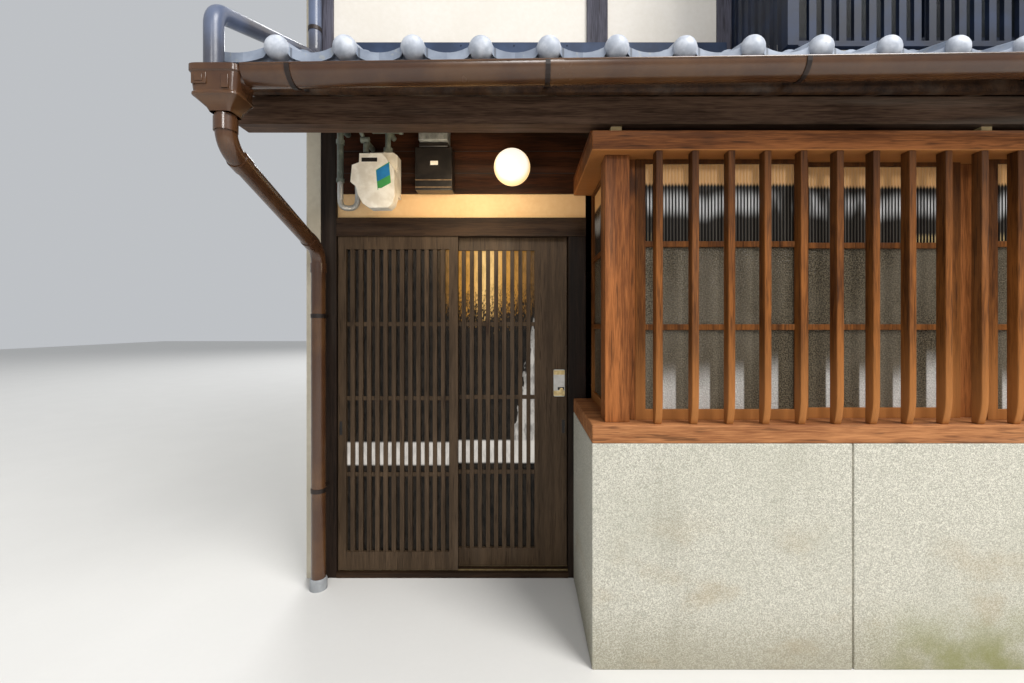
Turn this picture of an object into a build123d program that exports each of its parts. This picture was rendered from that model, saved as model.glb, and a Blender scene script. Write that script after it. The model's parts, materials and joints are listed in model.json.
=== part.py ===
from build123d import *
from math import asin, cos, hypot, radians, sin, sqrt
import os

os.makedirs("parts", exist_ok=True)

# A two-storey machiya townhouse of one row, in millimetres.
# X runs along the street front, Y into the house and Z up.
# The origin is on the ground under the middle of the house.

# The house as a whole
house_width = 4960
house_depth = 7880
party_wall = 80
frame_depth = 105
floor_top = 30
upper_floor_top = 2720
upper_floor_thickness = 120
plate_top = 4960
plate_height = 150

left_x = -house_width / 2
right_x = house_width / 2
front_y = -house_depth / 2
rear_y = house_depth / 2
left_inside = left_x + party_wall
right_inside = right_x - party_wall
plate_bottom = plate_top - plate_height
wall_y = (front_y, front_y + frame_depth)
rear_wall_y = (rear_y - frame_depth, rear_y)

# Entrance between its two posts
left_post_width = 89
entrance_width = 1320
door_post_width = 100
head_bottom = 1945
head_height = 105
transom_height = 138
transom_thickness = 60
board_thickness = 36
board_height = 404

entrance_left = left_inside + left_post_width
entrance_right = entrance_left + entrance_width
head_right = entrance_right + door_post_width
head_top = head_bottom + head_height
transom_top = head_top + transom_height
boards_top = transom_top + board_height

# Two sliding doors on rails let into the threshold
panel_clearance = 5
panel_overlap = 58
panel_thickness = 33
track_gap = 12
outer_track_setback = 15
door_rail_height = 3
door_rail_width = 9
head_groove = 16
roller_radius = 14
roller_width = 12
roller_inset = 85
running_gap = 0.3

rail_top = floor_top + door_rail_height
panel_width = (entrance_width - 2 * panel_clearance + panel_overlap) / 2
panel_z = (rail_top + panel_clearance, head_bottom + head_groove - panel_clearance)
outer_track_y = front_y + outer_track_setback
inner_track_y = outer_track_y + panel_thickness + track_gap
left_panel_x = entrance_left + panel_clearance
right_panel_x = entrance_right - panel_clearance - panel_width

# Lattice of the doors
slat_width = 24
slat_depth = 15
slat_setback = 4
left_door_gaps = 13
right_door_gaps = 10
outer_stile = 45
meeting_stile = 50
door_top_rail = 84
door_bottom_rail = 104
cross_rail_height = 24
cross_rail_depth = 6
cross_rail_rises = (543, 980, 1406)
door_glass_thickness = 4
door_glass_setback = 21

slats_across = (left_door_gaps - 1) * slat_width
slat_gap = (panel_width - outer_stile - meeting_stile - slats_across) / left_door_gaps

# Lock let into the stile of the right door
lock_width = 65
lock_height = 156
lock_proud = 5
lock_edge = 11
lock_rise = 1064
lock_corner = 8

# Globe lamp over the door
lamp_from_post = 318
lamp_rise = 104
lamp_radius = 98
lamp_bands = 12
lamp_facets = 24
lamp_top_angle = 88
lamp_plate_radius = 48
lamp_plate_depth = 14
lamp_arm_radius = 16
lamp_stand_off = 30

# Bay window over a plinth washed with stone chips
bay_lap = 71
bay_depth = 685
plinth_height = 946
plinth_wall = 120
plinth_joint_width = 8
plinth_joint_depth = 10
plinth_joint_offset = 1091
sill_height = 77
bay_opening_height = 1150
cap_height = 84
ceiling_board = 18
post_size = 106
post_setback = 51
post_inset = 63
jamb_strip = 38
middle_post_size = 84
middle_post_setback = 162

bay_left = head_right - bay_lap
bay_width = right_x - bay_left
bay_middle = bay_left + bay_width / 2
bay_front = front_y - bay_depth
ring_depth = middle_post_setback + middle_post_size
ring_end = post_inset + post_size
sill_top = plinth_height + sill_height
cap_bottom = sill_top + bay_opening_height
cap_top = cap_bottom + cap_height
ceiling_top = cap_top + ceiling_board
bay_opening_z = (sill_top, cap_bottom)

# Lattice bars of the bay, swept back at their feet
bay_bar_pitch = 151.5
bay_bar_width = 30
bay_bar_depth = 48
bay_bar_sweep = 18
bay_bar_sweep_height = 115

# Sashes behind the bars
sash_setback = 106
sash_thickness = 30
sash_track_gap = 8
sash_stile = 45
sash_meeting_stile = 57
sash_bottom_rail = 46
sash_top_rail = 18
sash_mid_rail = 26
sash_mid_rises = (409, 776)
sash_glass = 4

front_sash_y = bay_front + sash_setback
rear_sash_y = front_sash_y + sash_thickness + sash_track_gap
sash_back = rear_sash_y + sash_thickness

# Lower roof over the street front and, alike, over the rear
roof_pitch = 0.38
roof_reach = 814
beam_gap = 28
beam_height = 118
beam_width = 90
beam_setback = 48
beam_block = 46
rafter_width = 60
rafter_height = 75
rafter_count = 12
rafter_tip_setback = 60
fascia_thickness = 20
roof_board = 18

beam_bottom = ceiling_top + beam_gap
beam_top = beam_bottom + beam_height
beam_y = bay_front + beam_setback
tip_y = front_y - roof_reach
rafter_tip_y = tip_y + rafter_tip_setback

# Wave tiles: a roll and a pan to each column
tile_pitch = 265
first_roll_inset = 270
roll_width = 104
roll_rise = 38
pan_sag = 20
tile_base_thickness = 77
wave_steps = 6

# Gutters and the hopper at the low end of the street gutter
gutter_radius = 58
gutter_wall = 3
gutter_gap = 5
gutter_fall = 65
gutter_low_drop = 37
main_gutter_fall = 32
hopper_width = 190
hopper_depth = 140
hopper_height = 110
hopper_funnel = 52
hopper_wall = 4
hopper_inset = 8
bracket_first = 370
bracket_pitch = 950
bracket_width = 18
bracket_thickness = 4
bracket_arm_drop = 20
bracket_facets = 24

# Rainwater pipes
pipe_facets = 24
downpipe_radius = 37.5
downpipe_inset = 112
downpipe_standoff = 60
downpipe_drop = 114
downpipe_slant = 270
boot_radius = 46
boot_height = 62
upper_pipe_radius = 34
upper_pipe_inset = 67
upper_pipe_standoff = 40
upper_pipe_neck = 87
upper_pipe_over_roof = 60

# Upper storey
upper_end_post = 70
upper_post = 119
upper_post_offset = 1514
upper_wall_thickness = 75
upper_wall_setback = 15
window_post = 100
window_sill_rise = 320
window_head_drop = 430
window_frame = 46
window_frame_depth = 60
window_setback = 20
window_glass_thickness = 5
front_window_panes = 4
band_thickness = 12

# Metal lattice box in front of the upper window
lattice_margin = 235
lattice_width = 2340
lattice_depth = 600
lattice_over_tiles = 3
lattice_rail = 24
lattice_corner = 50
lattice_top_rise = 110
lattice_bar = 32
lattice_bar_depth = 20
lattice_rail_depth = 30
lattice_rail_setback = 10
lattice_pitch = 65

lattice_right = right_x - lattice_margin
lattice_left = lattice_right - lattice_width
lattice_front = front_y - lattice_depth
window_bottom = upper_floor_top + window_sill_rise
window_x = (lattice_left + lattice_corner, lattice_right - lattice_corner)
window_z = (window_bottom, plate_bottom - window_head_drop)
lattice_top = window_z[1] + lattice_top_rise

# Main roof
main_pitch = 0.45
main_reach = 640
main_board = 20
ridge_gap = 6
ridge_width = 250
ridge_wall_height = 150
ridge_cap_radius = 95

# Rear wall in three bays
rear_bay_count = 3
rear_post = 105
rear_door_height = 1980
rear_window_bottom = 950
rear_window_height = 1200
rear_panes = 2

# Meters on the boards over the entrance
meter_offset = 268
meter_width = 240
meter_shoulder_width = 192
meter_corner = 80
meter_shoulder_corner = 30
meter_drop = 132
meter_height = 321
meter_depth = 150
meter_standoff = 37
power_meter_offset = 571
power_meter_drop = 8
power_box_size = (203, 90, 236)
power_hood_size = (159, 110, 143)
gas_pipe_radius = 17
gas_pipe_offset = 200
gas_pipe_rise = 143
gas_port_offset = 60
gas_port_rises = (60, 120)


def save(piece, label):
    """Name a finished piece and write it to its own file."""
    piece.part.label = label
    export_step(piece.part, f"parts/{label}.step")


def middle(span):
    """Halfway point of a pair of limits."""
    return (span[0] + span[1]) / 2


def extent(span):
    """Distance between a pair of limits."""
    return span[1] - span[0]


def front_plane(y):
    """Upright plane across the house, seen from the street."""
    return Plane.XZ.offset(-y)


def block(x_span, y_span, z_span):
    """Fill the space between three pairs of limits."""
    with BuildSketch(Plane.XY.offset(z_span[0])) as plan:
        with Locations((middle(x_span), middle(y_span))):
            Rectangle(extent(x_span), extent(y_span))
    extrude(plan.sketch, amount=extent(z_span))


def faceted(rings):
    """Solid with flat sides through rings of points, from its lowest ring to its highest."""
    faces = [Face(Wire.make_polygon(ring)) for ring in (rings[0], rings[-1])]
    for low, high in zip(rings, rings[1:]):
        for index in range(len(low)):
            faces.append(Face(Wire.make_polygon([low[index - 1], low[index], high[index], high[index - 1]])))
    return Solid(Shell(faces))


def pierced_board(plane, thickness, span, z_span, fields):
    """Upright board with rectangular fields cut through it."""
    with BuildSketch(plane) as face:
        with Locations((middle(span), middle(z_span))):
            Rectangle(extent(span), extent(z_span))
        for field_span, field_z in fields:
            with Locations((middle(field_span), middle(field_z))):
                Rectangle(extent(field_span), extent(field_z), mode=Mode.SUBTRACT)
    extrude(face.sketch, amount=thickness)


def section_along_house(points):
    """Extrude an outline of depth and height over the whole width of the house."""
    with BuildSketch(Plane.YZ.offset(left_x)) as section:
        with BuildLine():
            Polyline(*points, close=True)
        make_face()
    extrude(section.sketch, amount=house_width)


# Floors
with BuildPart() as ground_floor:
    block((left_inside, right_inside), (wall_y[1], rear_wall_y[0]), (0, floor_top))
    block((bay_left + plinth_wall, right_x - plinth_wall), (bay_front + plinth_wall, wall_y[1]),
          (0, floor_top))
save(ground_floor, "ground_floor")

with BuildPart() as upper_floor:
    block((left_inside, right_inside), (wall_y[1], rear_wall_y[0]),
          (upper_floor_top - upper_floor_thickness, upper_floor_top))
save(upper_floor, "upper_floor")

# Party walls, closed by their gables up to the roof boards
eave_underside = plate_top + rafter_height
ridge_underside = eave_underside + main_pitch * house_depth / 2


def party_wall_at(x):
    """Plain wall of the whole depth of the house."""
    with BuildSketch(Plane.YZ.offset(x)) as outline:
        with BuildLine():
            Polyline((front_y, 0), (rear_y, 0), (rear_y, eave_underside), (0, ridge_underside),
                     (front_y, eave_underside), close=True)
        make_face()
    extrude(outline.sketch, amount=party_wall)


with BuildPart() as party_wall_left:
    party_wall_at(left_x)
save(party_wall_left, "party_wall_left")

with BuildPart() as party_wall_right:
    party_wall_at(right_inside)
save(party_wall_right, "party_wall_right")

with BuildPart() as bay_end_wall:
    block((right_inside, right_x), (bay_front + post_setback, front_y), bay_opening_z)
save(bay_end_wall, "bay_end_wall")

# Posts, head and threshold of the entrance
with BuildPart() as entrance_posts:
    block((left_inside, entrance_left), wall_y, (0, boards_top))
    block((entrance_right, head_right), wall_y, (0, head_bottom))
save(entrance_posts, "entrance_posts")

with BuildPart() as entrance_head:
    block((entrance_left, head_right), wall_y, (head_bottom, head_top))
    with BuildSketch(Plane.XY.offset(head_bottom)):
        for track_y in (outer_track_y, inner_track_y):
            with Locations((middle((entrance_left, entrance_right)), track_y + panel_thickness / 2)):
                Rectangle(entrance_width, panel_thickness + 2 * panel_clearance)
    extrude(amount=head_groove, mode=Mode.SUBTRACT)
save(entrance_head, "entrance_head")

with BuildPart() as entrance_threshold:
    block((entrance_left, entrance_right), wall_y, (0, floor_top))
    for track_y in (outer_track_y, inner_track_y):
        rail_y = track_y + (panel_thickness - door_rail_width) / 2
        block((entrance_left, entrance_right), (rail_y, rail_y + door_rail_width), (floor_top, rail_top))
save(entrance_threshold, "entrance_threshold")

# Plaster transom and the boards over it
with BuildPart() as transom_panel:
    transom_y = front_y + (frame_depth - transom_thickness) / 2
    block((entrance_left, head_right), (transom_y, transom_y + transom_thickness), (head_top, transom_top))
save(transom_panel, "transom_panel")

with BuildPart() as entrance_boards:
    block((entrance_left, head_right), (front_y, front_y + board_thickness), (transom_top, boards_top))
save(entrance_boards, "entrance_boards")


# Sliding lattice doors
def lattice_door(x_left, track_y, left_stile, gaps):
    """Frame, slats, cross rails and rollers of one door; returns its open field."""
    field_x = (x_left + left_stile, x_left + left_stile + gaps * slat_gap + (gaps - 1) * slat_width)
    field_z = (panel_z[0] + door_bottom_rail, panel_z[1] - door_top_rail)
    door_x = (x_left, x_left + panel_width)
    pierced_board(front_plane(track_y), -panel_thickness, door_x, panel_z, [(field_x, field_z)])
    slat_y = (track_y + slat_setback, track_y + slat_setback + slat_depth)
    for index in range(gaps - 1):
        slat_x = field_x[0] + slat_gap + index * (slat_gap + slat_width)
        block((slat_x, slat_x + slat_width), slat_y, field_z)
    for rise in cross_rail_rises:
        rail_middle = panel_z[0] + rise
        rail_z = (rail_middle - cross_rail_height / 2, rail_middle + cross_rail_height / 2)
        block(field_x, (slat_y[1] - cross_rail_depth, slat_y[1]), rail_z)
    with BuildSketch(front_plane(track_y + (panel_thickness + roller_width) / 2)) as rollers:
        roller_z = rail_top + running_gap + roller_radius
        with Locations((door_x[0] + roller_inset, roller_z), (door_x[1] - roller_inset, roller_z)):
            Circle(roller_radius)
    extrude(rollers.sketch, amount=roller_width)
    return field_x, field_z


def door_pane(field, track_y):
    """Glass let into the back of a door."""
    pane_y = track_y + door_glass_setback
    block(field[0], (pane_y, pane_y + door_glass_thickness), field[1])


with BuildPart() as front_door_left:
    left_field = lattice_door(left_panel_x, outer_track_y, outer_stile, left_door_gaps)
save(front_door_left, "front_door_left")

with BuildPart() as front_door_left_glass:
    door_pane(left_field, outer_track_y)
save(front_door_left_glass, "front_door_left_glass")

with BuildPart() as front_door_right:
    right_field = lattice_door(right_panel_x, inner_track_y, meeting_stile, right_door_gaps)
save(front_door_right, "front_door_right")

with BuildPart() as front_door_right_glass:
    door_pane(right_field, inner_track_y)
save(front_door_right_glass, "front_door_right_glass")

with BuildPart() as door_lock:
    lock_x = right_panel_x + panel_width - lock_edge - lock_width / 2
    with BuildSketch(front_plane(inner_track_y)):
        with Locations((lock_x, panel_z[0] + lock_rise)):
            RectangleRounded(lock_width, lock_height, lock_corner)
    extrude(amount=lock_proud)
save(door_lock, "door_lock")

# Globe lamp on a short arm
with BuildPart() as entry_lamp:
    lamp_x = entrance_right - lamp_from_post
    lamp_y = front_y - lamp_stand_off - lamp_radius
    lamp_z = transom_top + lamp_rise
    with BuildSketch(front_plane(front_y)):
        with Locations((lamp_x, lamp_z)):
            Circle(lamp_plate_radius)
    extrude(amount=lamp_plate_depth)
    with BuildSketch(front_plane(front_y)):
        with Locations((lamp_x, lamp_z)):
            Circle(lamp_arm_radius)
    extrude(amount=lamp_stand_off + lamp_radius)
    globe_rings = []
    for band in range(lamp_bands + 1):
        tilt = radians(lamp_top_angle * (2 * band / lamp_bands - 1))
        ring_radius = lamp_radius * cos(tilt)
        globe_rings.append([(lamp_x + ring_radius * cos(radians(360 * facet / lamp_facets)),
                             lamp_y + ring_radius * sin(radians(360 * facet / lamp_facets)),
                             lamp_z + lamp_radius * sin(tilt)) for facet in range(lamp_facets)])
    add(faceted(globe_rings))
save(entry_lamp, "entry_lamp")


# Plinth, sill and cap of the bay, each a U in plan
def bay_ring(z_span, depth, end_depth):
    """Front and both returns of the bay between two levels."""
    with BuildSketch(Plane.XY.offset(z_span[0])) as plan:
        with Locations((bay_middle, bay_front + bay_depth / 2)):
            Rectangle(bay_width, bay_depth)
        with Locations((bay_middle, bay_front + (depth + bay_depth) / 2)):
            Rectangle(bay_width - 2 * end_depth, bay_depth - depth, mode=Mode.SUBTRACT)
    extrude(plan.sketch, amount=extent(z_span))


with BuildPart() as bay_plinth:
    bay_ring((0, plinth_height), plinth_wall, plinth_wall)
    with BuildSketch(Plane.XY):
        joint_x = bay_width / 2 - plinth_joint_offset
        with Locations((bay_middle - joint_x, bay_front), (bay_middle + joint_x, bay_front)):
            Rectangle(plinth_joint_width, 2 * plinth_joint_depth)
    extrude(amount=plinth_height, mode=Mode.SUBTRACT)
save(bay_plinth, "bay_plinth")

with BuildPart() as bay_sill:
    bay_ring((plinth_height, sill_top), ring_depth, ring_end)
save(bay_sill, "bay_sill")

with BuildPart() as bay_cap:
    bay_ring((cap_bottom, cap_top), ring_depth, ring_end)
save(bay_cap, "bay_cap")

with BuildPart() as bay_ceiling:
    block((bay_left, right_x), (beam_y, front_y), (cap_top, ceiling_top))
save(bay_ceiling, "bay_ceiling")

# Corner posts with their jamb strips, and the post between the two windows
left_corner_x = (bay_left + post_inset, bay_left + post_inset + post_size)
right_corner_x = (right_inside - post_size, right_inside)
middle_post_x = (bay_middle - middle_post_size / 2, bay_middle + middle_post_size / 2)
corner_y = (bay_front + post_setback, bay_front + post_setback + post_size)
with BuildPart() as bay_posts:
    block(left_corner_x, corner_y, bay_opening_z)
    block((left_corner_x[1], left_corner_x[1] + jamb_strip), (front_sash_y, sash_back), bay_opening_z)
    block(right_corner_x, corner_y, bay_opening_z)
    block((right_corner_x[0] - jamb_strip, right_corner_x[0]), (front_sash_y, sash_back), bay_opening_z)
    post_front = bay_front + middle_post_setback
    block(middle_post_x, (post_front, post_front + middle_post_size), bay_opening_z)
save(bay_posts, "bay_posts")

# Lattice bars, each cut from a board with a curved foot
with BuildPart() as bay_lattice:
    bar_back = bay_front + bay_bar_depth
    bar_count = int((right_corner_x[0] - left_corner_x[1]) // bay_bar_pitch)
    first_bar = bay_middle - (bar_count - 1) / 2 * bay_bar_pitch
    for index in range(bar_count):
        with BuildSketch(Plane.YZ.offset(first_bar + index * bay_bar_pitch - bay_bar_width / 2)):
            with BuildLine():
                sweep_start = (bay_front, sill_top + bay_bar_sweep_height)
                foot = (bay_front + bay_bar_sweep, sill_top)
                TangentArc(sweep_start, foot, tangent=(0, -1))
                Polyline(foot, (bar_back, sill_top), (bar_back, cap_bottom), (bay_front, cap_bottom),
                         sweep_start)
            make_face()
        extrude(amount=bay_bar_width)
save(bay_lattice, "bay_lattice")

# Heights of a sash's three panes
pane_edges = [sill_top + sash_bottom_rail]
for rise in sash_mid_rises:
    pane_edges += [sill_top + rise - sash_mid_rail / 2, sill_top + rise + sash_mid_rail / 2]
pane_edges.append(cap_bottom - sash_top_rail)
pane_levels = list(zip(pane_edges[0::2], pane_edges[1::2]))


# Sliding sashes, two to each half of the bay
def sash(span, y, left_stile, right_stile):
    """One sash; returns the fields of its panes with their depth."""
    field_x = (span[0] + left_stile, span[1] - right_stile)
    fields = [(field_x, pane_z) for pane_z in pane_levels]
    pierced_board(front_plane(y), -sash_thickness, span, bay_opening_z, fields)
    return [(field, y + (sash_thickness - sash_glass) / 2) for field in fields]


sash_panes = []
with BuildPart() as bay_sashes:
    units = ((left_corner_x[1] + jamb_strip, middle_post_x[0]),
             (middle_post_x[1], right_corner_x[0] - jamb_strip))
    for unit in units:
        left_sash = (unit[0], middle(unit) + sash_meeting_stile / 2)
        right_sash = (middle(unit) - sash_meeting_stile / 2, unit[1])
        sash_panes += sash(left_sash, front_sash_y, sash_stile, sash_meeting_stile)
        sash_panes += sash(right_sash, rear_sash_y, sash_meeting_stile, sash_stile)
save(bay_sashes, "bay_sashes")

# Glazed frame that closes the bay's left end
side_x = middle(left_corner_x) - sash_thickness / 2
side_y = (corner_y[1], front_y)
side_fields = [((side_y[0] + sash_stile, side_y[1] - sash_stile), pane_z) for pane_z in pane_levels]
with BuildPart() as bay_side_frame:
    pierced_board(Plane.YZ.offset(side_x), sash_thickness, side_y, bay_opening_z, side_fields)
save(bay_side_frame, "bay_side_frame")

with BuildPart() as bay_glass:
    for (field_x, field_z), pane_y in sash_panes:
        block(field_x, (pane_y, pane_y + sash_glass), field_z)
    pane_x = side_x + (sash_thickness - sash_glass) / 2
    for field_y, field_z in side_fields:
        block((pane_x, pane_x + sash_glass), field_y, field_z)
save(bay_glass, "bay_glass")

# Beams of the house's own walls: over the bay, and under the main roof
with BuildPart() as wall_beams:
    block((head_right, right_inside), wall_y, (cap_top, boards_top))
    block((left_inside, right_inside), wall_y, (plate_bottom, plate_top))
    block((left_inside, right_inside), rear_wall_y, (plate_bottom, plate_top))
save(wall_beams, "wall_beams")


# Lower roof: beam, rafters, boards and tiles
def rafter_underside(y):
    """Height of the lower rafters' underside, from the top of the eave beam."""
    return beam_top + (y - beam_y) * roof_pitch


board_underside_tip = rafter_underside(tip_y) + rafter_height
tile_underside_tip = board_underside_tip + roof_board
tile_underside_wall = tile_underside_tip + roof_reach * roof_pitch
tile_crest = tile_base_thickness + roll_rise

with BuildPart() as eave_beam:
    beam_back = beam_y + beam_width
    section_along_house([(beam_y, beam_bottom), (beam_back, beam_bottom),
                         (beam_back, rafter_underside(beam_back)), (beam_y, beam_top)])
    mirror(about=Plane.XZ)
    for block_x in (middle(left_corner_x), bay_middle, middle(right_corner_x)):
        block_y = beam_y + (beam_width - beam_block) / 2
        block((block_x - beam_block / 2, block_x + beam_block / 2), (block_y, block_y + beam_block),
              (ceiling_top, beam_bottom))
save(eave_beam, "eave_beam")


def rafter_row(tip, top, pitch, tip_height):
    """Evenly spaced rafters from their tips up to another depth."""
    rise = (top - tip) * pitch
    for index in range(rafter_count):
        x = left_inside + index * (right_inside - left_inside - rafter_width) / (rafter_count - 1)
        with BuildSketch(Plane.YZ.offset(x)) as profile:
            with BuildLine():
                Polyline((tip, tip_height), (top, tip_height + rise),
                         (top, tip_height + rise + rafter_height), (tip, tip_height + rafter_height),
                         close=True)
            make_face()
        extrude(profile.sketch, amount=rafter_width)


main_tip_y = front_y - main_reach
main_rafter_tip = main_tip_y + rafter_tip_setback
with BuildPart() as rafters:
    rafter_row(rafter_tip_y, front_y, roof_pitch, rafter_underside(rafter_tip_y))
    rafter_row(main_rafter_tip, -ridge_gap, main_pitch, plate_top - (front_y - main_rafter_tip) * main_pitch)
    mirror(about=Plane.XZ)
save(rafters, "rafters")


def boarding(tip, top, pitch, underside, thickness, fascia_y):
    """Roof boards with the fascia that hangs under their edge."""
    rise = (top - tip) * pitch
    fascia_front = fascia_y - fascia_thickness
    fascia_top = underside + (fascia_y - tip) * pitch
    front_top = fascia_top - fascia_thickness * pitch
    fascia_bottom = front_top - rafter_height
    section_along_house([(tip, underside), (fascia_front, front_top), (fascia_front, fascia_bottom),
                         (fascia_y, fascia_bottom), (fascia_y, fascia_top), (top, underside + rise),
                         (top, underside + rise + thickness), (tip, underside + thickness)])


main_underside_tip = eave_underside - main_reach * main_pitch
with BuildPart() as roof_boards:
    boarding(tip_y, front_y, roof_pitch, board_underside_tip, roof_board, rafter_tip_y)
    boarding(main_tip_y, -ridge_gap, main_pitch, main_underside_tip, main_board, main_rafter_tip)
    mirror(about=Plane.XZ)
save(roof_boards, "roof_boards")


def arch(start, end, rise):
    """Points along an arc between two feet, drawn in equal turns; a negative rise sags."""
    half = (end - start) / 2
    radius = (half**2 + rise**2) / (2 * rise)
    turn = asin(half / radius)
    angles = [turn * (2 * step / wave_steps - 1) for step in range(wave_steps)]
    centre = middle((start, end))
    return [(centre + radius * sin(angle), radius * cos(angle) - radius + rise) for angle in angles]


def tiled_slope(tip, top, pitch, underside):
    """Wave-tiled slope: a roll and a pan to each column of tiles."""
    roll_x = []
    while first_roll_inset + len(roll_x) * tile_pitch < house_width - roll_width / 2:
        roll_x.append(left_x + first_roll_inset + len(roll_x) * tile_pitch)
    crests = []
    start = left_x
    for x in roll_x:
        feet = (x - roll_width / 2, x + roll_width / 2)
        crests += arch(start, feet[0], -pan_sag) + arch(*feet, roll_rise)
        start = feet[1]
    crests += arch(start, right_x, -pan_sag)
    foot = underside + tile_base_thickness
    with BuildSketch(front_plane(tip)) as wave:
        with BuildLine():
            Polyline((right_x, foot), (right_x, underside), (left_x, underside),
                     *[(x, foot + height) for x, height in crests], close=True)
        make_face()
    extrude(wave.sketch, amount=hypot(top - tip, (top - tip) * pitch), dir=(0, 1, pitch))


with BuildPart() as lower_roofs:
    tiled_slope(tip_y, front_y, roof_pitch, tile_underside_tip)
    mirror(about=Plane.XZ)
save(lower_roofs, "lower_roofs")

with BuildPart() as main_roof:
    tiled_slope(main_tip_y, -ridge_gap, main_pitch, main_underside_tip + main_board)
    mirror(about=Plane.XZ)
save(main_roof, "main_roof")

# Ridge of stacked flat tiles under a round cap
ridge_crest = ridge_underside + main_board + tile_crest
with BuildPart() as roof_ridge:
    with BuildSketch(Plane.YZ.offset(left_x)):
        half = ridge_width / 2
        foot_z = ridge_crest - half * main_pitch
        shoulder = ridge_crest + ridge_wall_height
        with BuildLine():
            Polyline((-half, foot_z), (0, ridge_crest), (half, foot_z), (ridge_cap_radius, shoulder),
                     (-ridge_cap_radius, shoulder), close=True)
        make_face()
        with Locations((0, shoulder)):
            Circle(ridge_cap_radius)
    extrude(amount=house_width)
save(roof_ridge, "roof_ridge")


# Gutters on strap brackets
def gutter(y, low_top, fall, x_span, left_end):
    """Half-round channel that falls to the left, with its right end closed."""
    slope = fall / extent(x_span)
    outer = (0, 0, gutter_radius, Mode.ADD)
    inner = (left_end, gutter_wall, gutter_radius - gutter_wall, Mode.SUBTRACT)
    for left_inset, right_inset, radius, mode in (outer, inner):
        top = low_top + left_inset * slope
        length = extent(x_span) - left_inset - right_inset
        with BuildSketch(Plane.YZ.offset(x_span[0] + left_inset)) as channel:
            with Locations((y, top)):
                Circle(radius)
            with Locations((y, top + gutter_radius)):
                Rectangle(2 * gutter_radius, 2 * gutter_radius, mode=Mode.SUBTRACT)
        extrude(channel.sketch, amount=hypot(length, length * slope), dir=(1, 0, slope), mode=mode)


def bracket(x, side, gutter_line, top, arm_end):
    """Strap under a gutter of the street (-1) or rear (1), with an arm back to the fascia."""
    inside = gutter_radius + running_gap
    outside = inside + bracket_thickness
    arm_start = gutter_line - sqrt((outside - bracket_thickness / 2) ** 2 - bracket_arm_drop**2)
    with BuildSketch(Plane.YZ.offset(x - bracket_width / 2)) as strap:
        with Locations((side * gutter_line, top)):
            RegularPolygon(outside, bracket_facets)
            RegularPolygon(inside, bracket_facets, major_radius=False, mode=Mode.SUBTRACT)
        with Locations((side * gutter_line, top + outside)):
            Rectangle(2 * outside, 2 * outside, mode=Mode.SUBTRACT)
        with Locations((side * middle((arm_start, arm_end)), top - bracket_arm_drop)):
            Rectangle(arm_start - arm_end, bracket_thickness)
    extrude(strap.sketch, amount=bracket_width)


gutter_out = rear_y + roof_reach + gutter_gap + gutter_radius
main_gutter_out = rear_y + main_reach + gutter_gap + gutter_radius
gutter_low_top = board_underside_tip - gutter_low_drop
main_gutter_low_top = main_underside_tip - main_gutter_fall
hopper_x = (left_x + hopper_inset, left_x + hopper_inset + hopper_width)
gutter_x = (hopper_x[1], right_x)
house_x = (left_x, right_x)
with BuildPart() as gutters:
    gutter(-gutter_out, gutter_low_top, gutter_fall, gutter_x, 0)
    gutter(gutter_out, gutter_low_top, gutter_fall, house_x, gutter_wall)
    for y in (-main_gutter_out, main_gutter_out):
        gutter(y, main_gutter_low_top, main_gutter_fall, house_x, gutter_wall)
save(gutters, "gutters")

fascia_out = -rafter_tip_y + fascia_thickness
main_fascia_out = -main_rafter_tip + fascia_thickness
with BuildPart() as gutter_brackets:
    bracket_x = left_x + bracket_first
    while bracket_x < right_x:
        street_top = gutter_low_top + gutter_fall * (bracket_x - gutter_x[0]) / extent(gutter_x)
        rear_top = gutter_low_top + gutter_fall * (bracket_x - left_x) / house_width
        main_top = main_gutter_low_top + main_gutter_fall * (bracket_x - left_x) / house_width
        bracket(bracket_x, -1, gutter_out, street_top, fascia_out)
        bracket(bracket_x, 1, gutter_out, rear_top, fascia_out)
        for side in (-1, 1):
            bracket(bracket_x, side, main_gutter_out, main_top, main_fascia_out)
        bracket_x += bracket_pitch
save(gutter_brackets, "gutter_brackets")


# Hopper: an open box over a funnel, with the gutter's end let into its side
def rectangle_ring(x, width, depth, inset, z):
    """Corners of a level rectangle under the gutter's line, drawn in by an inset."""
    half_width = width / 2 - inset
    half_depth = depth / 2 - inset
    return [(x + across * half_width, deep * half_depth - gutter_out, z)
            for across, deep in ((-1, -1), (1, -1), (1, 1), (-1, 1))]


downpipe_x = left_x + downpipe_inset
hopper_outlet = 2 * (downpipe_radius + hopper_wall + running_gap)
with BuildPart() as rain_hopper:
    body_bottom = gutter_low_top - hopper_height
    for inset, mode in ((0, Mode.ADD), (hopper_wall, Mode.SUBTRACT)):
        with BuildSketch(Plane.XY.offset(body_bottom)):
            with Locations((middle(hopper_x), -gutter_out)):
                Rectangle(hopper_width - 2 * inset, hopper_depth - 2 * inset)
        extrude(amount=hopper_height, mode=mode)
        outlet = rectangle_ring(downpipe_x, hopper_outlet, hopper_outlet, inset, body_bottom - hopper_funnel)
        mouth = rectangle_ring(middle(hopper_x), hopper_width, hopper_depth, inset, body_bottom)
        add(faceted([outlet, mouth]), mode=mode)
    with BuildSketch(Plane.YZ.offset(hopper_x[1] - hopper_wall)):
        with Locations((-gutter_out, gutter_low_top)):
            Circle(gutter_radius - gutter_wall)
    extrude(amount=hopper_wall, mode=Mode.SUBTRACT)
save(rain_hopper, "rain_hopper")


# Rainwater pipes
def pipe(points, radius):
    """Pipe along straight runs that meet in mitres, drawn with flat sides."""
    with BuildLine() as route:
        Polyline(*points)
    with BuildSketch(Plane(origin=route.line @ 0, z_dir=route.line % 0)) as bore:
        RegularPolygon(radius, pipe_facets)
    sweep(bore.sketch, path=route.line, transition=Transition.RIGHT)


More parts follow.
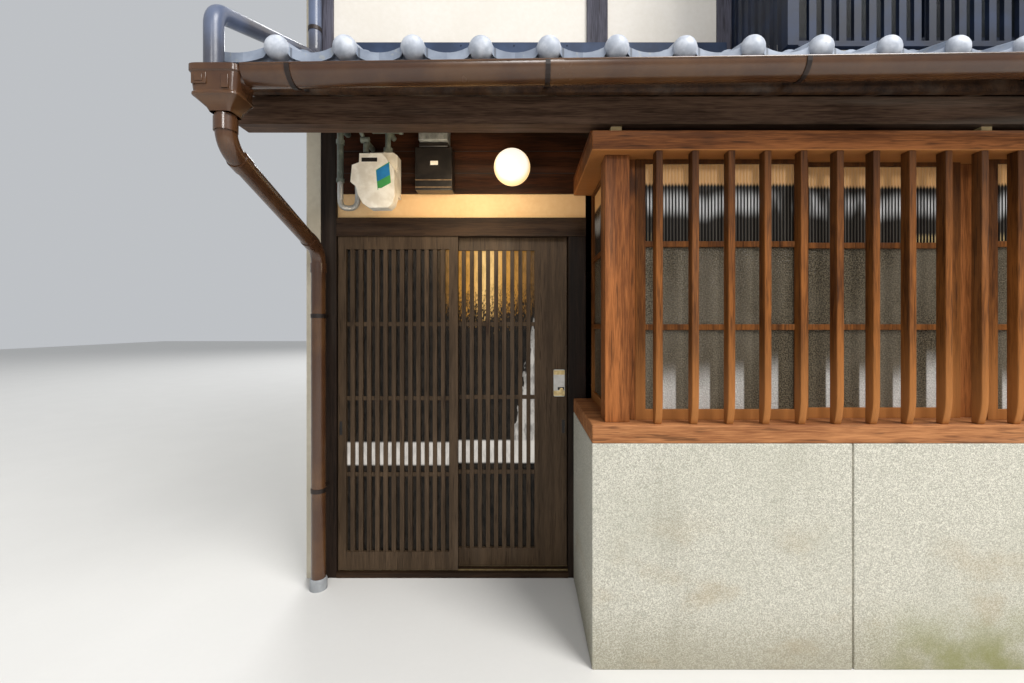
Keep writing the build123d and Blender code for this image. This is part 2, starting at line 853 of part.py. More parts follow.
def ground_pipe(side, top):
    """Pipe from a lower gutter back to the wall and down to its boot."""
    y = side * (rear_y + downpipe_standoff + downpipe_radius)
    drop_z = outlet_z - downpipe_drop
    pipe([(downpipe_x, side * gutter_out, top), (downpipe_x, side * gutter_out, drop_z),
          (downpipe_x, y, drop_z - downpipe_slant), (downpipe_x, y, 0)], downpipe_radius)
    with BuildSketch(Plane.XY) as boot:
        with Locations((downpipe_x, y)):
            Circle(boot_radius)
    extrude(boot.sketch, amount=boot_height)


def roof_pipe(side, end):
    """Pipe from a main gutter down the wall and out over the lower roof."""
    x = left_x + upper_pipe_inset
    wall = side * (rear_y + upper_pipe_standoff)
    over_tiles = tile_crest + upper_pipe_over_roof
    start = main_gutter_low_top - gutter_radius
    neck = start - upper_pipe_neck
    pipe([(x, side * main_gutter_out, start), (x, side * main_gutter_out, neck),
          (x, wall, neck - main_reach), (x, wall, tile_underside_wall + over_tiles),
          (x, side * gutter_out, tile_underside_tip + over_tiles), (x, side * gutter_out, end)],
         upper_pipe_radius)


outlet_z = gutter_low_top - hopper_height - hopper_funnel
with BuildPart() as downpipes:
    ground_pipe(-1, outlet_z)
    gutter_at_pipe = gutter_low_top + gutter_fall * (downpipe_inset - downpipe_radius) / house_width
    ground_pipe(1, gutter_at_pipe - gutter_radius - running_gap)
    roof_pipe(-1, gutter_low_top - hopper_height / 2)
    roof_pipe(1, gutter_low_top)
save(downpipes, "downpipes")

# Posts of the upper front and of the rear
upper_z = (boards_top, plate_bottom)
upper_post_left = left_inside + upper_post_offset
post_lines = [(left_inside, left_inside + upper_end_post),
              (upper_post_left, upper_post_left + upper_post),
              (window_x[0] - window_post, window_x[0]),
              (window_x[1], window_x[1] + window_post),
              (right_inside - upper_end_post, right_inside)]
inner_posts = rear_bay_count - 1
rear_bay = (right_inside - left_inside - 2 * upper_end_post - inner_posts * rear_post) / rear_bay_count
rear_lines = [(left_inside, left_inside + upper_end_post)]
for index in range(inner_posts):
    post_left = rear_lines[-1][1] + rear_bay
    rear_lines.append((post_left, post_left + rear_post))
rear_lines.append((right_inside - upper_end_post, right_inside))
with BuildPart() as wall_posts:
    for line in post_lines:
        block(line, wall_y, upper_z)
    for line in rear_lines:
        block(line, rear_wall_y, (0, plate_bottom))
save(wall_posts, "wall_posts")

# Plaster of the upper front, and the metal band at its foot
panel_y = (front_y + upper_wall_setback, front_y + upper_wall_setback + upper_wall_thickness)
with BuildPart() as upper_front_wall:
    for left, right in zip(post_lines, post_lines[1:]):
        bay = (left[1], right[0])
        if bay == window_x:
            block(bay, panel_y, (boards_top, window_z[0]))
            block(bay, panel_y, (window_z[1], plate_bottom))
        else:
            block(bay, panel_y, upper_z)
save(upper_front_wall, "upper_front_wall")

crest_at_wall = tile_underside_wall + tile_crest
with BuildPart() as upper_band:
    block((post_lines[0][1], lattice_left), (front_y - band_thickness, front_y),
          (crest_at_wall, window_bottom))
save(upper_band, "upper_band")


# Windows and the rear door
def casement(x_span, z_span, y, panes):
    """Frame with equal panes side by side; returns their fields."""
    pane_width = (extent(x_span) - (panes + 1) * window_frame) / panes
    fields = []
    for index in range(panes):
        left = x_span[0] + window_frame + index * (pane_width + window_frame)
        fields.append(((left, left + pane_width), (z_span[0] + window_frame, z_span[1] - window_frame)))
    pierced_board(front_plane(y), -window_frame_depth, x_span, z_span, fields)
    return [(field, y + (window_frame_depth - window_glass_thickness) / 2) for field in fields]


with BuildPart() as upper_window:
    window_panes = casement(window_x, window_z, front_y + window_setback, front_window_panes)
save(upper_window, "upper_window")

rear_window_y = rear_y - window_setback - window_frame_depth
rear_window_z = (rear_window_bottom, rear_window_bottom + rear_window_height)
rear_bays = [(left[1], right[0]) for left, right in zip(rear_lines, rear_lines[1:])]
with BuildPart() as rear_joinery:
    window_panes += casement(rear_bays[0], (0, rear_door_height), rear_window_y, rear_panes)
    window_panes += casement(rear_bays[1], rear_window_z, rear_window_y, rear_panes)
    for bay in rear_bays[1:]:
        window_panes += casement(bay, window_z, rear_window_y, rear_panes)
save(rear_joinery, "rear_joinery")

with BuildPart() as window_glass:
    for (field_x, field_z), pane_y in window_panes:
        block(field_x, (pane_y, pane_y + window_glass_thickness), field_z)
save(window_glass, "window_glass")

rear_panel_y = (-panel_y[1], -panel_y[0])
with BuildPart() as rear_wall:
    block(rear_bays[0], rear_panel_y, (rear_door_height, plate_bottom))
    block(rear_bays[1], rear_panel_y, (0, rear_window_z[0]))
    block(rear_bays[1], rear_panel_y, (rear_window_z[1], window_z[0]))
    for bay in rear_bays[2:]:
        block(bay, rear_panel_y, (0, window_z[0]))
    for bay in rear_bays[1:]:
        block(bay, rear_panel_y, (window_z[1], plate_bottom))
save(rear_wall, "rear_wall")


# Lattice box: a front between corner posts, and two sides whose feet follow the roof
def tile_clearance(y):
    """Lowest height of the lattice over the tiles at a given depth."""
    return tile_underside_tip + (y - tip_y) * roof_pitch + tile_crest + lattice_over_tiles


def lattice_front_panel():
    """Rails, corner posts and bars of the front."""
    bottom = tile_clearance(lattice_front + lattice_corner)
    y_span = (lattice_front, lattice_front + lattice_corner)
    block((lattice_left, lattice_left + lattice_corner), y_span, (bottom, lattice_top))
    block((lattice_right - lattice_corner, lattice_right), y_span, (bottom, lattice_top))
    bar_y = lattice_front + lattice_rail_setback
    for rail_bottom in (bottom, lattice_top - lattice_rail):
        block(window_x, (bar_y, bar_y + lattice_rail_depth), (rail_bottom, rail_bottom + lattice_rail))
    bars = round(extent(window_x) / lattice_pitch)
    for index in range(1, bars):
        x = window_x[0] + index * extent(window_x) / bars
        block((x - lattice_bar / 2, x + lattice_bar / 2), (bar_y, bar_y + lattice_bar_depth),
              (bottom + lattice_rail, lattice_top - lattice_rail))


def lattice_side_panel(x):
    """Bars and rails of one side, from the front panel to the wall."""
    near = lattice_front + lattice_corner + running_gap
    near_foot = tile_clearance(near)
    far_foot = tile_clearance(front_y)
    with BuildSketch(Plane.YZ.offset(x)) as outline:
        with BuildLine():
            Polyline((near, near_foot), (front_y, far_foot), (front_y, lattice_top), (near, lattice_top),
                     close=True)
        make_face()
        with BuildLine():
            Polyline((near, near_foot + lattice_rail), (front_y, far_foot + lattice_rail),
                     (front_y, lattice_top - lattice_rail), (near, lattice_top - lattice_rail), close=True)
        make_face(mode=Mode.SUBTRACT)
        bars = round((front_y - near) / lattice_pitch)
        for index in range(bars + 1):
            y = near + index * (front_y - near) / bars
            y = min(max(y, near + lattice_bar / 2), front_y - lattice_bar / 2)
            with Locations((y, middle((tile_clearance(y), lattice_top)))):
                Rectangle(lattice_bar, lattice_top - tile_clearance(y) - lattice_bar * roof_pitch)
    extrude(outline.sketch, amount=lattice_bar_depth)


with BuildPart() as upper_lattice:
    lattice_front_panel()
    lattice_side_panel(lattice_left + lattice_corner - lattice_bar_depth)
    lattice_side_panel(lattice_right - lattice_corner)
save(upper_lattice, "upper_lattice")

# Gas meter, its pipes, and the electric meter
meter_x = entrance_left + meter_offset
meter_y = front_y - meter_standoff
meter_bottom = transom_top - meter_drop
meter_top = meter_bottom + meter_height
with BuildPart() as gas_meter:
    with BuildSketch(front_plane(meter_y)):
        with Locations((meter_x, meter_bottom + meter_width / 2)):
            RectangleRounded(meter_width, meter_width, meter_corner)
        with Locations((meter_x, meter_top - meter_shoulder_width / 2)):
            RectangleRounded(meter_shoulder_width, meter_shoulder_width, meter_shoulder_corner)
    extrude(amount=meter_depth)
save(gas_meter, "gas_meter")

port_y = meter_y - meter_depth / 2
with BuildPart() as gas_pipes:
    for side, rise in zip((-1, 1), gas_port_rises):
        port_x = meter_x + side * gas_port_offset
        pipe([(port_x, port_y, meter_top), (port_x, port_y, meter_top + rise),
              (port_x, front_y, meter_top + rise)], gas_pipe_radius)
    riser_x = meter_x - gas_pipe_offset
    riser_top = meter_top + gas_pipe_rise
    inlet_z = meter_bottom + meter_corner + gas_pipe_radius
    pipe([(riser_x, front_y, riser_top), (riser_x, port_y, riser_top), (riser_x, port_y, inlet_z),
          (meter_x - meter_width / 2, port_y, inlet_z)], gas_pipe_radius)
save(gas_pipes, "gas_pipes")

with BuildPart() as electric_meter:
    power_x = entrance_left + power_meter_offset
    box_width, box_depth, box_height = power_box_size
    hood_width, hood_depth, hood_height = power_hood_size
    box_z = (transom_top - power_meter_drop, transom_top - power_meter_drop + box_height)
    block((power_x - box_width / 2, power_x + box_width / 2), (front_y - box_depth, front_y), box_z)
    block((power_x - hood_width / 2, power_x + hood_width / 2), (front_y - hood_depth, front_y),
          (box_z[1], box_z[1] + hood_height))
save(electric_meter, "electric_meter")
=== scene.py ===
# %% [markdown]
# # A machiya townhouse
#
# A machiya is a narrow timber house in a Japanese town row. Its front is a pair of sliding lattice doors
# and a bay window behind upright bars, under two tiled roofs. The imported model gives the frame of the
# house: its walls, floors, doors and roofs in metres, with X along the front, Y into the house and Z up.
#
# This lesson dresses that frame. It first makes the finishes, then the tiles, gutters and small things
# that a plain solid doesn't show, and last the light and the camera. The frame could be imported as a
# plain mesh, but its pieces would then lose their names and the bodies that they move with.
#
# The frame's box is measured before anything is added, because it is the real house's size.

import json
import math

import bmesh
import bpy
import numpy as np
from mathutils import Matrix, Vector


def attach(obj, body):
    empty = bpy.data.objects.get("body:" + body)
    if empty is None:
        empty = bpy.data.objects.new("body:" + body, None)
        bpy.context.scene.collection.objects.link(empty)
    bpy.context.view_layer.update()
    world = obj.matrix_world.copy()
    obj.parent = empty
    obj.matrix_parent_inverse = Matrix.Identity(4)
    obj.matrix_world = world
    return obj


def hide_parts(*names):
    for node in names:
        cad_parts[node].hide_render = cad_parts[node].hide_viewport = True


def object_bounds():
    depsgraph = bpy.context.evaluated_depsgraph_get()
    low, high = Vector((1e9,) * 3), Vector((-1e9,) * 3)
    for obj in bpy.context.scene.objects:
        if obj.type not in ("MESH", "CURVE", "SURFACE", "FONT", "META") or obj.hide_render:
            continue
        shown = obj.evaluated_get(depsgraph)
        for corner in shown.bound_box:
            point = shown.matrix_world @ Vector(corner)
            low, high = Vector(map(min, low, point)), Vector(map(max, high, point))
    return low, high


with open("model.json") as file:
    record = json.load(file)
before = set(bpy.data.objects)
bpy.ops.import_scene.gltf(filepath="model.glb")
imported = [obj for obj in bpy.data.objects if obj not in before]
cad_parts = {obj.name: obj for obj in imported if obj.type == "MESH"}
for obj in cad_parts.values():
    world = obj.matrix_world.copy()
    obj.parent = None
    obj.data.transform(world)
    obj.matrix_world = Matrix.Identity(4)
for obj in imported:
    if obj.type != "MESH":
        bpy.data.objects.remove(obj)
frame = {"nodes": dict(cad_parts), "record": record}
cad_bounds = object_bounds()
print("frame holds", len(frame["nodes"]), "pieces")

# %% [markdown]
# ## Numbers in a shader
#
# A finish is worked out from a point's place on the house: how grey the wood is here, how dark the joint
# is there. Such a sum could be laid out by hand, one Math node for each step. That soon takes dozens of
# nodes, so `Num` wraps a socket that carries a number, and + - * / on it add the nodes. A formula then
# reads like one.
#
# Colours are written as screen codes, which anyone can look up. A shader wants light instead, so
# `linear` takes the screen's curve off them.

# %% Numbers in a shader
def linear(code):
    """Scene-linear colour of a six-digit screen colour, by the screen's transfer curve."""
    parts = [int(code[i:i + 2], 16) / 255 for i in (0, 2, 4)]
    return tuple(p / 12.92 if p <= 0.04045 else ((p + 0.055) / 1.055) ** 2.4 for p in parts) + (1.0,)


class Num:
    """A socket that carries a number; arithmetic on it adds Math nodes."""

    def __init__(self, paint, socket):
        self.paint = paint
        self.socket = socket

    def __add__(self, other):
        return self.paint.math("ADD", self, other)

    def __sub__(self, other):
        return self.paint.math("SUBTRACT", self, other)

    def __rsub__(self, other):
        return self.paint.math("SUBTRACT", other, self)

    def __mul__(self, other):
        return self.paint.math("MULTIPLY", self, other)

    def __truediv__(self, other):
        return self.paint.math("DIVIDE", self, other)

    def __rtruediv__(self, other):
        return self.paint.math("DIVIDE", other, self)

    __radd__ = __add__
    __rmul__ = __mul__


print("half grey 808080 is", round(linear("808080")[0], 3), "in linear light")

# %% [markdown]
# ## An empty material
#
# Every finish of this house, from tile to glass, is one Principled shader with a pattern behind it. The
# pattern could be a picture wrapped round each piece, but that needs unwrapping, and it blurs close up.
# Formulas on Object coordinates stay sharp, and they run on from piece to piece, because all pieces
# share one frame. `Canvas` is a material with its shader and its coordinates, and it makes every node
# through one method, `node`.

# %% An empty material
class Canvas:
    """A material with a Principled shader, its place coordinates and a way to add nodes."""

    def __init__(self, name, **fixed):
        self.material = bpy.data.materials.new(name)
        self.material.use_nodes = True
        self.tree = self.material.node_tree
        self.tree.nodes.clear()
        constants = {key.replace("_", " "): value for key, value in fixed.items()}
        self.shader = self.node("ShaderNodeBsdfPrincipled", {}, constants)
        output = self.node("ShaderNodeOutputMaterial", {}, {})
        self.tree.links.new(self.shader.outputs[0], output.inputs["Surface"])
        self.place = self.node("ShaderNodeTexCoord", {}, {}).outputs["Object"]
        axes = self.node("ShaderNodeSeparateXYZ", {}, {"Vector": self.place})
        self.x, self.y, self.z = (Num(self, axes.outputs[i]) for i in range(3))

    def feed(self, socket, value):
        """Link a socket or set a constant."""
        if isinstance(value, Num):
            value = value.socket
        if isinstance(value, bpy.types.NodeSocket):
            self.tree.links.new(value, socket)
        else:
            socket.default_value = value

    def node(self, kind, settings, inputs):
        """Add a node of a kind, with its settings and inputs."""
        made = self.tree.nodes.new(kind)
        for key, value in settings.items():
            setattr(made, key, value)
        for key, value in inputs.items():
            self.feed(made.inputs[key], value)
        return made

    def math(self, operation, a, b=0.0):
        """A Math node on one or two numbers."""
        made = self.node("ShaderNodeMath", {"operation": operation}, {0: a, 1: b})
        return Num(self, made.outputs[0])

    def between(self, value, low, high):
        """0 below low and 1 above high, with a smooth step in between."""
        made = self.node("ShaderNodeMapRange", {"interpolation_type": "SMOOTHSTEP"},
                         {"Value": value, "From Min": low, "From Max": high})
        return Num(self, made.outputs["Result"])


print("a canvas knows a point's x, y and z")

# %% [markdown]
# ## Patterns and coats
#
# Real surfaces vary in a few ways only: softly, like clouds and stains; in grains, like chips of stone;
# and from one tile to the next. Blender has a texture for each: Noise, Voronoi and White Noise. Their
# nodes could be set up anew for each finish. `Paint` gives each texture a short method instead, with
# its size in cells a metre, and `coat` feeds the result to the shader as colour, roughness and bump.

# %% Patterns and coats
class Paint(Canvas):
    """A material that patterns are mixed on and that its shader then wears."""

    def spread(self, scale, stretch):
        """The place, scaled to a number of pattern cells a metre along each axis."""
        made = self.node("ShaderNodeMapping", {},
                         {"Vector": self.place, "Scale": tuple(scale * s for s in stretch)})
        return made.outputs[0]

    def noise(self, scale, stretch=(1, 1, 1), detail=3.0):
        """Cloudy noise of 0 to 1 with a number of clouds a metre along each axis."""
        made = self.node("ShaderNodeTexNoise", {"noise_dimensions": "3D"},
                         {"Vector": self.spread(scale, stretch), "Scale": 1.0, "Detail": detail,
                          "Roughness": 0.55})
        return Num(self, made.outputs[0])

    def chips(self, scale, stretch=(1, 1, 1)):
        """Small cells: a random number for each cell, and the distance from its centre."""
        made = self.node("ShaderNodeTexVoronoi", {}, {"Vector": self.spread(scale, stretch), "Scale": 1.0})
        parts = self.node("ShaderNodeSeparateColor", {}, {"Color": made.outputs["Color"]})
        return Num(self, parts.outputs[0]), Num(self, made.outputs["Distance"])

    def lot(self, a, b):
        """A random number for each whole-number cell of two numbers."""
        cells = {0: self.math("FLOOR", a), 1: self.math("FLOOR", b)}
        joined = self.node("ShaderNodeCombineXYZ", {}, cells)
        made = self.node("ShaderNodeTexWhiteNoise", {}, {"Vector": joined.outputs[0]})
        return Num(self, made.outputs["Value"])

    def mix(self, factor, a, b):
        """Colour b over colour a by a factor."""
        made = self.node("ShaderNodeMix", {"data_type": "RGBA"}, {0: factor, 6: a, 7: b})
        return made.outputs[2]

    def coat(self, colour, roughness=None, height=None, depth=0.001, glow=None):
        """Feed the shader: colour, roughness, a height in depth units for the bump, and a glow colour."""
        self.feed(self.shader.inputs["Base Color"], colour)
        if roughness is not None:
            self.feed(self.shader.inputs["Roughness"], roughness)
        if height is not None:
            bump = self.node("ShaderNodeBump", {}, {"Strength": 1.0, "Distance": depth, "Height": height})
            self.feed(self.shader.inputs["Normal"], bump.outputs[0])
        if glow is not None:
            self.feed(self.shader.inputs["Emission Color"], glow)
            self.shader.inputs["Emission Strength"].default_value = 1.0
        return self


print("a paint can be mixed from noise, chips and lots")

# %% [markdown]
# ## Wood
#
# The posts, the doors and the bay's bars are sawn softwood, stained and then weathered. Under the eave
# the bay's wood lies in shade and lower down more light reaches it, so it is painted darker toward its
# top and lighter low down and on the cap's underside: painted shade and painted light. Close up one sees
# fibres and streaks along the board, and here and there a knot or a crack. The rings of a trunk could be
# worked out, but on bars 40 mm wide they are nearly straight lines. So noise that is stretched along the
# board makes the grain, and a few Voronoi cells make the knots.

# %% Wood
X, Y, Z = 0, 1, 2
GRAIN_STRETCH, KNOT_STRETCH = 0.055, 0.45


def stretched(along, share):
    """Scales of one, and a smaller share along one axis, which draws a pattern out that way."""
    scales = [1.0, 1.0, 1.0]
    scales[along] = share
    return scales


def timber(name, dark, light, along, worn=0.0, shine=0.55, painted_shade_heights=None, painted_light_heights=None):
    """Wood: tone = streaks and fibres stretched along one axis, plus a slow tone; knots darken it.

    It greys in patches by the worn share. Painted shade darkens it toward the top of the painted shade
    heights, and painted light makes it paler below the painted light heights.
    """
    paint = Paint(name, Specular_IOR_Level=0.12)
    long = stretched(along, GRAIN_STRETCH)
    fibres = paint.noise(210, long, 4)
    streaks = paint.noise(24, long, 3)
    slow = paint.noise(1.7)
    pick, far = paint.chips(5.5, stretched(along, KNOT_STRETCH))
    knots = (1 - paint.between(far, 0.05, 0.2)) * paint.between(pick, 0.6, 0.64)
    cracks = paint.between(paint.noise(95, long, 2), 0.6, 0.68)
    tone = paint.between(streaks * 0.42 + fibres * 0.34 + slow * 0.24, 0.37, 0.65)
    colour = paint.mix(tone, linear(dark), linear(light))
    colour = paint.mix(cracks * 0.5, colour, linear("160d08"))
    colour = paint.mix(knots * 0.75, colour, linear("2a1a12"))
    if worn:
        patches = paint.between(paint.noise(7, long, 4), 0.52, 0.74)
        colour = paint.mix(patches * worn, colour, linear("8c8378"))
    # Painted shade: darker toward the top, where the eave shades the wood.
    if painted_shade_heights:
        colour = paint.mix(paint.between(paint.z, *painted_shade_heights) * 0.6, colour, linear("2c1709"))
    # Painted light: paler low down, where more light reaches the wood.
    if painted_light_heights:
        colour = paint.mix((1 - paint.between(paint.z, *painted_light_heights)) * 0.75, colour, linear("a56c3a"))
    return paint.coat(colour, shine + (fibres - 0.5) * 0.25, fibres + streaks * 0.8 - knots * 0.6, 0.0009)


print("wood can run along X, Y or Z:", stretched(X, GRAIN_STRETCH), "and so on")

# %% [markdown]
# ## Plaster
#
# Upstairs the front is cream lime plaster, the strip over the doors is warmer, and the party walls are a
# rougher grey-brown. Trowel marks could be pushed into the mesh, but they are less than a millimetre
# deep. Two near tones by slow clouds and a bump of finer ones are enough.

# %% Plaster
def plaster(name, colour, shade, grain=0.0005):
    """Plaster: two tones by slow clouds, trowel clouds in the bump."""
    paint = Paint(name)
    clouds = paint.noise(2.2, detail=5)
    trowel = paint.noise(38, detail=5)
    tone = paint.between(clouds * 0.7 + trowel * 0.3, 0.38, 0.66)
    return paint.coat(paint.mix(tone, linear(shade), linear(colour)), 0.88, trowel, grain)


print("plaster is ready for the walls, the transom and the earth floor")

# %% [markdown]
# ## Washed stone
#
# The plinth is mortar full of stone chips, whose skin was washed off before it set so that the chips
# show. Thousands of pebbles could be scattered on it, but at about 3 mm each they are only a grain.
# Voronoi cells give each chip its own tone and a rounded bump. The grime that creeps up from its foot,
# the drips under the sill and the moss at the right are masks by place, broken up by clouds, so that no
# edge is straight.

# %% Washed stone
CHIPS_A_METRE = 300


def washed_stone():
    """Chips: a random tone each, pale to dark grey; grime fades up from the foot; moss at the right."""
    paint = Paint("Washed stone")
    pick, far = paint.chips(CHIPS_A_METRE)
    fine = paint.chips(620)[0]
    colour = paint.mix(paint.between(pick, 0.0, 1.0), linear("a6a497"), linear("dbd8ca"))
    colour = paint.mix(paint.between(pick, 0.9, 0.93) * 0.55, colour, linear("5f5b52"))
    colour = paint.mix(paint.between(fine, 0.86, 0.9) * 0.35, colour, linear("6f6a5c"))
    clouds = paint.noise(1.6, detail=5)
    colour = paint.mix(paint.between(clouds, 0.42, 0.68) * 0.3, colour, linear("a9a897"))
    drips = paint.noise(9, (1, 1, 0.12), 4)
    colour = paint.mix(paint.between(drips, 0.55, 0.75) * 0.22, colour, linear("83806f"))
    low = 1 - paint.between(paint.z + clouds * 0.25, 0.08, 0.42)
    knee_high = 1 - paint.between(paint.z, 0.35, 0.75)
    stain = paint.between(paint.noise(2.4, (1, 1, 1.6), 5), 0.52, 0.7) * knee_high
    colour = paint.mix(stain * 0.35, colour, linear("a08a63"))
    colour = paint.mix(low * 0.5, colour, linear("7d7558"))
    damp = 1 - paint.between(paint.z + clouds * 0.25, 0.2, 0.46)
    moss = damp * paint.between(paint.x, 0.1, 0.5) * paint.between(paint.noise(6, detail=5), 0.28, 0.62)
    colour = paint.mix(moss * 0.8, colour, linear("7b7c44"))
    return paint.coat(colour, 0.85, pick * 0.5 - far, 0.0016)


print("chips of about", round(1000 / CHIPS_A_METRE, 1), "mm")

# %% [markdown]
# ## The tile grid
#
# Roof tiles lie in columns 265 mm wide, a roll and a pan each, and in courses of about 235 mm up the
# slope. The shape and the colour of the tiles both need that grid. It could be typed in twice, but then
# a change to one would leave the other behind, so it is written once, here. The ends of the roofs come
# from the frame's box.
#
# A roof is four numbers: how far its tip and its top lie from the middle of the house, its pitch, and
# the height of its underside at the tip.

# %% The tile grid
LEFT, RIGHT = (round(corner[X], 4) for corner in cad_bounds)
ROLL_PITCH, COURSE = 0.265, 0.235
FIRST_ROLL = LEFT + 0.270
ROLLS = FIRST_ROLL + ROLL_PITCH * np.arange(18)
WALL = 3.94
LOWER_ROOF = (4.754, WALL, 0.38, 2.4467)
MAIN_ROOF = (4.58, 0.006, 0.45, 4.767)


def courses(roof):
    """Whole courses from tip to top: the slope's length over a course's."""
    tip, top, pitch = roof[:3]
    return round((tip - top) * math.hypot(1, pitch) / COURSE)


print(len(ROLLS), "columns;", courses(LOWER_ROOF), "and", courses(MAIN_ROOF), "courses")

# %% [markdown]
# ## Smoked tile
#
# The tiles are clay, smoked in the kiln until they shine like dull silver, and no two have quite one
# tone. Each tile could be an object with a material of its own, but the two roofs have about 900.
# Here the whole number of the grid names a tile and draws its tone, and the fraction tells where on it
# the painted shade lies: under the lip of the next course and in the crease at each roll's foot.
# Lichen is noise, as it grows over joints too.

# %% Smoked tile
def tile(name, roof):
    """Smoked tile: a tone for each tile, and painted shade under each course's lip and beside each roll.

    Across the roof the grid is (x - the first column's edge) / column, and up the slope it is
    (tip - |y|) / step, with the step to a tenth of a millimetre.
    """
    paint = Paint(name)
    tip, top = roof[:2]
    step = round((tip - top) / courses(roof), 4)
    column = (paint.x - (FIRST_ROLL - ROLL_PITCH / 2)) / ROLL_PITCH
    course = (tip - paint.math("ABSOLUTE", paint.y)) / step
    along, across = paint.math("FRACT", course), paint.math("FRACT", column)
    pick = paint.lot(column, course)
    clouds = paint.noise(9, detail=5)
    tone = paint.between(pick * 0.25 + clouds * 0.6, 0.2, 0.66)
    colour = paint.mix(tone, linear("656f80"), linear("9da7b7"))
    lichen = paint.between(paint.noise(34, detail=5), 0.6, 0.7)
    colour = paint.mix(lichen * 0.3, colour, linear("a8a692"))
    # Painted shade at the top of each course, where the next course's lip shades it.
    colour = paint.mix(paint.between(along, 0.8, 1.0) * 0.55, colour, linear("2f343a"))
    # Painted shade in the crease at the foot of each roll.
    roll_foot_shade = paint.between(across, 0.685, 0.7) * (1 - paint.between(across, 0.715, 0.73))
    colour = paint.mix(roll_foot_shade * 0.6, colour, linear("2b3036"))
    return paint.coat(colour, 0.42 + clouds * 0.25, paint.noise(120, detail=3), 0.0004)


print("smoked tile is ready for", 2 * len(ROLLS) * (courses(LOWER_ROOF) + courses(MAIN_ROOF)), "tiles")

# %% [markdown]
# ## Paint, plastic and metal
#
# Gutters are moulded plastic, the upper lattice is painted metal, and the meters are enamelled cases.
# Each is one colour that hands and weather have made a little uneven. It could be a flat colour, but
# that looks like a drawing. Two near tones by clouds, an uneven roughness and a faint bump make it a
# thing, and one function serves them all.

# %% Paint, plastic and metal
def plain(name, dark, light, roughness, metallic=0.0, grain=0.0002, scale=14, **fixed):
    """A moulded, painted or metal surface: two near tones by clouds, and a faint bump."""
    paint = Paint(name, Metallic=metallic, **fixed)
    clouds = paint.noise(scale, detail=4)
    fine = paint.noise(scale * 14, detail=2)
    colour = paint.mix(paint.between(clouds, 0.35, 0.7), linear(dark), linear(light))
    return paint.coat(colour, roughness + (clouds - 0.5) * 0.18, fine, grain)


print("plain finishes are ready")

# %% [markdown]
# ## The bay's glass
#
# The bay's panes are pressed glass: hammered into small dimples below, and reeded into upright ribs
# above. Clear glass in an empty room would show nothing of what makes them lively, which is soft light
# between the bars. A furnished room and a bright sky could be built for it. The panes are painted
# instead, with dimples and reeds in the bump, pale bands of painted light where light passes, and
# painted reflections and highlights on the reeds.

# %% The bay's glass
REED, BAR_PITCH, FIRST_GAP = 0.0145, 0.1515, -0.605


def bay_pane():
    """Bay glass: hammered dimples below and upright reeds above.

    A reed is one turn of sin(2 pi (x + y) / reed). Painted light lies low down as one pale patch for each
    gap between the bars, one turn of cos(2 pi (x - first gap) / bar pitch), and higher up a painted
    highlight waves across the reeds as a soft line. Above it a tan band is a painted reflection, and cream
    glints low on the upper panes and a faint sheen on each reed are painted highlights.
    """
    paint = Paint("Bay glass", Specular_IOR_Level=0.12)
    upper = paint.between(paint.z, 1.80, 1.81)
    far = paint.chips(150)[1]
    reeds = paint.math("SINE", (paint.x + paint.y) * (2 * math.pi / REED))
    clouds = paint.noise(3.2, (1, 1, 0.6), 4)
    speck = paint.between(paint.noise(160, detail=2), 0.38, 0.64)
    low = paint.mix(speck, linear("363025"), linear("615848"))
    low = paint.mix(paint.between(clouds, 0.4, 0.66) * 0.3, low, linear("80786a"))
    gaps = paint.math("COSINE", (paint.x - FIRST_GAP) * (2 * math.pi / BAR_PITCH))
    patch = paint.between(gaps, 0.05, 0.4) * (1 - paint.between(paint.z + (clouds - 0.5) * 0.3, 1.16, 1.32))
    low = paint.mix(patch * (speck * 0.25 + 0.65), low, linear("cdccc8"))
    # Painted reflection and highlights: a tan band high up, a wavy white line, cream glints and reed sheen.
    wave = paint.z - 1.975 + (paint.noise(5, (1, 1, 0.1)) - 0.5) * 0.12
    above = paint.between(paint.z + reeds * 0.004, 2.055, 2.075)
    high = paint.mix(above, linear("15110e"), linear("cf9f68"))
    shine = paint.between(wave, -0.075, -0.01) * (1 - paint.between(wave, 0.01, 0.07))
    shine = shine * paint.between(paint.noise(9, (1, 1, 0.3), 2), 0.36, 0.5)
    high = paint.mix(shine * paint.between(reeds, -0.8, 0.7) * 0.85, high, linear("d9dbdc"))
    glint = (1 - paint.between(paint.z, 1.835, 1.86)) * paint.between(clouds, 0.5, 0.58)
    high = paint.mix(glint * paint.between(reeds, 0.1, 0.8) * 0.6, high, linear("d9bd80"))
    high = paint.mix(paint.between(reeds, 0.0, 0.9) * 0.12, high, linear("b5aea0"))
    return paint.coat(paint.mix(upper, low, high), 0.24, (1 - upper) * far + upper * reeds * 0.4, 0.0022)


print("reeds of", REED * 1000, "mm and light every", BAR_PITCH * 1000, "mm")

# %% [markdown]
# ## The doors' glass
#
# Behind the doors' slats stands dark dimpled glass. It shows the glow of the entrance lamp high up on
# the right door, and daylight from low in front across both. A mirror finish could catch real lights,
# but a few of them would have to be placed for this one view and would fail in any other. So the light
# on the glass is painted too, as a glow that the dimples break up.

